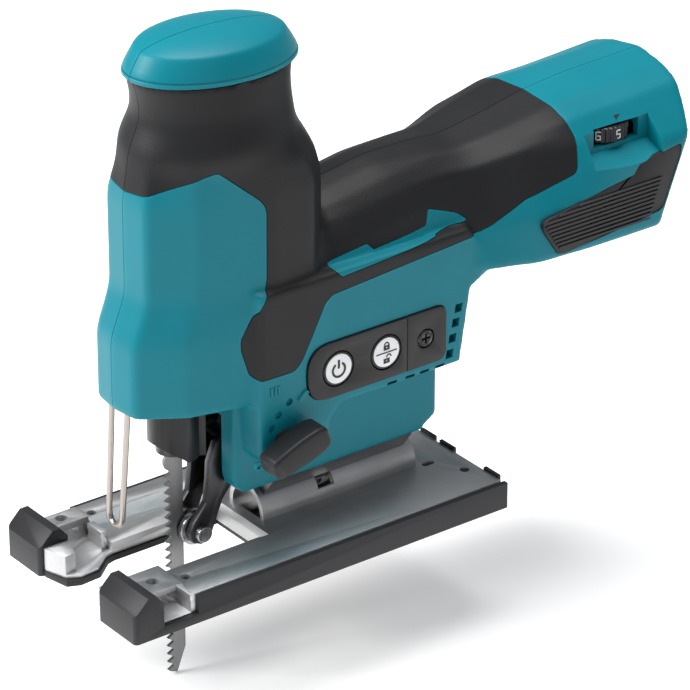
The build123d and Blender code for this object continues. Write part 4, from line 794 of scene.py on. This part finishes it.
def arc_band(cx, cz, r, w, a0, a1, n=28):
    out = [(cx + (r + w / 2) * math.cos(math.radians(a0 + (a1 - a0) * k / n)), cz + (r + w / 2) * math.sin(math.radians(a0 + (a1 - a0) * k / n))) for k in range(n + 1)]
    out += [(cx + (r - w / 2) * math.cos(math.radians(a1 - (a1 - a0) * k / n)), cz + (r - w / 2) * math.sin(math.radians(a1 - (a1 - a0) * k / n))) for k in range(n + 1)]
    return out


# seen from the left the x axis runs to the left, so marks are drawn as they are read from there
def power_icon(bx):
    return [((bx, PZ - 0.35, 2.55, 0.8, 122, 418), []), (rect(bx, PZ + 1.75, 0.8, 3.2), [])]


def lock_icon(bx):
    out = [(rect(bx, PZ, 8.6, 0.4), [])]
    for dz, shut in ((2.35, True), (-2.6, False)):
        out.append((rect(bx, PZ + dz - 0.55, 2.5, 1.75), [ring_pts(bx, PZ + dz - 0.5, 0.32, 12)]))
        sx = bx if shut else bx - 0.9
        out.append(((sx, PZ + dz + 0.5 + (0.0 if shut else 0.3), 0.9, 0.45, -5 if shut else 0, 185), []))
    return out


button("power_button", -47.2, power_icon)
button("lock_button", -67.3, lock_icon)
refine("panel_screw", 0.12)

# ------------------------------------------------------------------ speed wheel with its digits
v, f = [], []
N = 120
rr = [8.75 + (0.25 if (k % 4) in (0, 1) else -0.10) for k in range(N)]
levels = [(121.9, -0.5), (122.2, 0.0), (127.2, 0.0), (127.5, -0.5)]
for z, d in levels:
    for k in range(N):
        t = 2 * math.pi * k / N
        # a smooth band round the middle carries the digits
        v.append((DX + (rr[k] + d) * math.cos(t), DY + (rr[k] + d) * math.sin(t), z))
for i in range(3):
    for k in range(N):
        f.append((i * N + k, i * N + (k + 1) % N, (i + 1) * N + (k + 1) % N, (i + 1) * N + k))
f.append(tuple(reversed(range(N))))
f.append(tuple(range(3 * N, 4 * N)))
wheel = make_obj("speed_wheel", v, f, BLACK_SAT, 30)
boolean(wheel, rod(DX, DY, 1.6, 118, 132, "XY", 24))
plaque_pts = ring_pts(DX, DY, 9.0, 96)
seat(wheel, "dial", "black_plastic", "speed_dial")
SEG = {"1": "bc", "2": "abged", "3": "abgcd", "4": "fgbc", "5": "afgcd", "6": "afgedc"}


def digit(ch, ang, mat):
    """One numeral wrapped on the wheel's rim, made of thin raised strokes."""
    w, h, s = 1.5, 2.9, 0.34
    strokes = {"a": (0, h / 2, w, s), "g": (0, 0, w, s), "d": (0, -h / 2, w, s), "b": (w / 2, h / 4, s, h / 2), "c": (w / 2, -h / 4, s, h / 2),
               "f": (-w / 2, h / 4, s, h / 2), "e": (-w / 2, -h / 4, s, h / 2)}
    vv, ff = [], []
    for c in SEG[ch]:
        cx, cz, sw, sh = strokes[c]
        sw, sh = (sw + s if sw > s else sw), (sh + s if sh > s else sh)
        b = len(vv)
        for r in (8.7, 9.0):
            for ux, uz in ((-sw / 2, -sh / 2), (sw / 2, -sh / 2), (sw / 2, sh / 2), (-sw / 2, sh / 2)):
                # from outside, looking in, a larger angle is further to the right of the reader
                t = ang + (cx + ux) / 9.0
                vv.append((DX + r * math.cos(t), DY + r * math.sin(t), 124.7 + cz + uz))
        ff += [(b, b + 1, b + 2, b + 3), (b + 4, b + 7, b + 6, b + 5)] + [(b + i, b + 4 + i, b + 4 + (i + 1) % 4, b + (i + 1) % 4) for i in range(4)]
    ob = make_obj("dial_digit_" + ch, vv, ff, mat, 0)
    bm = bmesh.new()
    bm.from_mesh(ob.data)
    bmesh.ops.recalc_face_normals(bm, faces=bm.faces[:])
    bm.to_mesh(ob.data)
    bm.free()
    seat(ob, "dial", "black_plastic")


for i, ch in enumerate("123456"):  # the fifth faces the window at rest
    digit(ch, math.radians(90 + (5 - (i + 1)) * 48), WHITE)

# small pointer above the wheel window
tri = prism("pointer_mark", [(-167.5, 129.6), (-166.2, 131.6), (-168.8, 131.6)], 27.9, 28.25, mat=BLACK_SAT)
seat(tri, "tool_body", "black_plastic")

# ------------------------------------------------------------------ orbital selector: lever, marks
LX, LZ = -25.0, 51.0
la = math.atan2(46.6 - LZ, -12.0 - LX)


def lever():
    hub = rod(LX, LZ, 3.9, 28.4, 31.8, n=64)
    pts = []
    # outline along the lever: tapered finger with a broad nose, rounded tail
    prof = [(-11.4, 2.4), (-10.4, 3.9), (-7.6, 4.8), (-2.0, 5.1), (3.0, 4.9), (8.0, 4.5), (11.0, 3.9), (12.4, 2.4)]
    top = [(a, b) for a, b in prof]
    bot = [(a, -b) for a, b in reversed(prof)]
    for a, b in top + bot:
        pts.append((LX + a * math.cos(la) - b * math.sin(la), LZ + a * math.sin(la) + b * math.cos(la)))
    bar = prism("bar", round_poly(pts, 1.5, 3), 31.0, 40.7)
    bevelled(bar, 1.5, 4, 40)
    boolean(bar, hub, "UNION")
    return bar


lev = lever()
lev.name = "selector_lever"
paint(lev, BLACK)
shade(lev, 35)
seat(lev, "orbital_selector", "black_plastic", "orbital_lever")
marks = [prism(f"m{k}", rect(-19 + 1.5 * (k - 1) - 2.6, 72.6 - 2.2, 0.7, 3.3), 28.4, 28.95) for k in range(3)]
marks += [arc_solid("m0", -14.6, 44.4, 1.25, 0.5, 0, 359.0, 27.6, 28.85)]
marks += [prism("m5", [(-32.0, 63.2), (-30.9, 64.4), (-34.2, 67.4), (-35.3, 66.2)], 28.0, 29.3)]
for i, mk in enumerate(marks):
    mk.name = f"selector_mark_{i}"
    paint(mk, TEAL)
    seat(mk, "tool_body", "teal_plastic")

# ------------------------------------------------------------------ tail plates with horizontal ribs
for side, s in (("left", 1), ("right", -1)):
    pl = prism(f"rail_plate_{side}", round_poly(grow(RAIL_SIDE, -0.12), RAIL_R, 4), 35.3 * s, 36.9 * s, mat=BLACK)
    bevelled(pl, 0.25, 2, 40, BLACK)
    ribs = []
    for k in range(10):
        z = 93.4 + 1.55 * k
        x0 = -176.5 - 0.37 * (z - 93.4)
        x1 = min(-135.5 + (z - 91.0) * 0.625, -127.0 - (z - 104.6) / 0.1787) - 1.6
        rb = prism("r", round_poly([(x0, z - 0.42), (x1, z - 0.42), (x1, z + 0.42), (x0, z + 0.42)], 0.3, 3), 36.7 * s, 37.35 * s)
        ribs.append(rb)
    r = join_cutters(ribs)
    r.name = f"rail_ribs_{side}"
    paint(r, BLACK_SAT)
    shade(r, 35)
    seat(pl, "tool_body", "black_plastic", f"rail_{side}")
    seat(r, "tool_body", "black_plastic")

# ------------------------------------------------------------------ CAD pieces whose edges only need breaking
for n, w, m in (("base_plate", 0.45, ALLOY), ("sole_cover", 0.7, BLACK), ("battery_channel", 0.4, BLACK), ("terminal_block", 0.3, GREY),
                ("clamp_sleeve", 0.35, BLACK_SAT), ("roller_arm", 0.35, STEEL_DARK), ("blade_roller", 0.25, STEEL), ("tilt_saddle", 0.4, CAST),
                ("guide_block", 0.3, STEEL_DARK), ("nose_plate", 0.3, CAST), ("blade_clamp", 0.3, STEEL_DARK), ("gear_frame", 0.4, CAST),
                ("housing_screws", 0.15, STEEL_DARK)):
    refine(n, w, m)

# the battery channel's front corners are drawn in so that they stay inside the tail
chan = bpy.data.objects["battery_channel_fine"]
boolean(chan, join_cutters([box(-133.2, -118, 28.3, 45, 80, 112), box(-133.2, -118, -45, -28.3, 80, 112)]))
shade(chan, 35)

# ------------------------------------------------------------------ guard wire: one bent rod
def tube(name, path, r, mat, n=16):
    path = [np.array(p, float) for p in path]
    v, f = [], []
    m = len(path)
    ref = np.array([1.0, 0.0, 0.0])
    for i, p in enumerate(path):
        t = path[min(i + 1, m - 1)] - path[max(i - 1, 0)]
        t /= np.linalg.norm(t)
        a = ref - t * (ref @ t)
        a /= np.linalg.norm(a)
        b = np.cross(t, a)
        for k in range(n):
            u = 2 * math.pi * k / n
            v.append(p + r * (a * math.cos(u) + b * math.sin(u)))
    for i in range(m - 1):
        for k in range(n):
            f.append((i * n + k, i * n + (k + 1) % n, (i + 1) * n + (k + 1) % n, (i + 1) * n + k))
    f.append(tuple(reversed(range(n))))
    f.append(tuple(range((m - 1) * n, m * n)))
    ob = make_obj(name, v, f, mat, 40)
    bm = bmesh.new()
    bm.from_mesh(ob.data)
    bmesh.ops.recalc_face_normals(bm, faces=bm.faces[:])
    bm.to_mesh(ob.data)
    bm.free()
    return ob


wy, wb = 4.6, 3.9
path = [(21.4, -wy, 74.0), (21.4, -wy, 66.0)]
path += [(21.4 + 2.6 * k / 6, -wy + (wy - wb) * k / 6, 66.0 - 39.6 * k / 6) for k in range(1, 7)]
path += [(24.0 + 0.25 * math.sin(math.pi * k / 16), -wb * math.cos(math.pi * k / 16), 26.4 - wb * math.sin(math.pi * k / 16)) for k in range(1, 16)]
path += [(x, -y, z) for x, y, z in path[:8]][::-1]
seat(tube("guard_wire_bent", path, 1.08, WIRE), "tool_body", "wire_steel", "guard_wire")

# ------------------------------------------------------------------ stage, light, camera
fl = bpy.data.meshes.new("floor")
S = 6.0
fl.from_pydata([(-S, -S, 0), (S, -S, 0), (S, S, 0), (-S, S, 0)], [], [(0, 1, 2, 3)])
floor = bpy.data.objects.new("floor", fl)
scene.collection.objects.link(floor)
floor.location.z = cad_bounds[0][2] - 0.0004
fm, fnt, fp = new_mat("floor_pale")
fp.inputs["Base Color"].default_value = (0.9, 0.9, 0.9, 1)
fp.inputs["Emission Color"].default_value = (1, 1, 1, 1)
fp.inputs["Emission Strength"].default_value = 0.34
fp.inputs["Roughness"].default_value = 0.9
fp.inputs["Specular IOR Level"].default_value = 0.1
fl.materials.append(fm)

world = bpy.data.worlds.new("studio")
world.use_nodes = True
bg = world.node_tree.nodes["Background"]
bg.inputs["Color"].default_value = (0.93, 0.95, 1.0, 1)
bg.inputs["Strength"].default_value = 0.26
scene.world = world


def area(name, loc, target, size, power, size_y=None, colour=(1, 1, 1)):
    ld = bpy.data.lights.new(name, "AREA")
    ld.energy = power
    ld.size = size
    ld.color = colour
    if size_y:
        ld.shape = "RECTANGLE"
        ld.size_y = size_y
    ob = bpy.data.objects.new(name, ld)
    scene.collection.objects.link(ob)
    ob.location = loc
    ob.rotation_euler = (Vector(target) - Vector(loc)).to_track_quat("-Z", "Y").to_euler()
    return ob


TARGET = Vector((-0.0721, 0, 0.0606))
area("key", TARGET + Vector((1.0, -0.45, 0.75)), TARGET, 0.5, 18.0)
area("top", TARGET + Vector((-0.05, -0.05, 1.25)), TARGET, 0.8, 18.0)
area("fill", TARGET + Vector((0.35, 1.1, 0.55)), TARGET, 0.9, 1.0)

cd = bpy.data.cameras.new("cam")
cam = bpy.data.objects.new("cam", cd)
scene.collection.objects.link(cam)
cd.sensor_width = 36
cd.lens = 234.8
cd.clip_start = 0.05
az, el, dist = math.radians(143.09), math.radians(27.02), 1.545
back = Vector((math.sin(az) * math.cos(el), -math.cos(az) * math.cos(el), math.sin(el)))
right = Vector((math.cos(az), math.sin(az), 0))
up = back.cross(right)
cam.location = TARGET + back * dist
rot = Matrix((right, up, back)).transposed()
cam.rotation_euler = rot.to_euler()
scene.camera = cam
scene.view_settings.view_transform = "Standard"
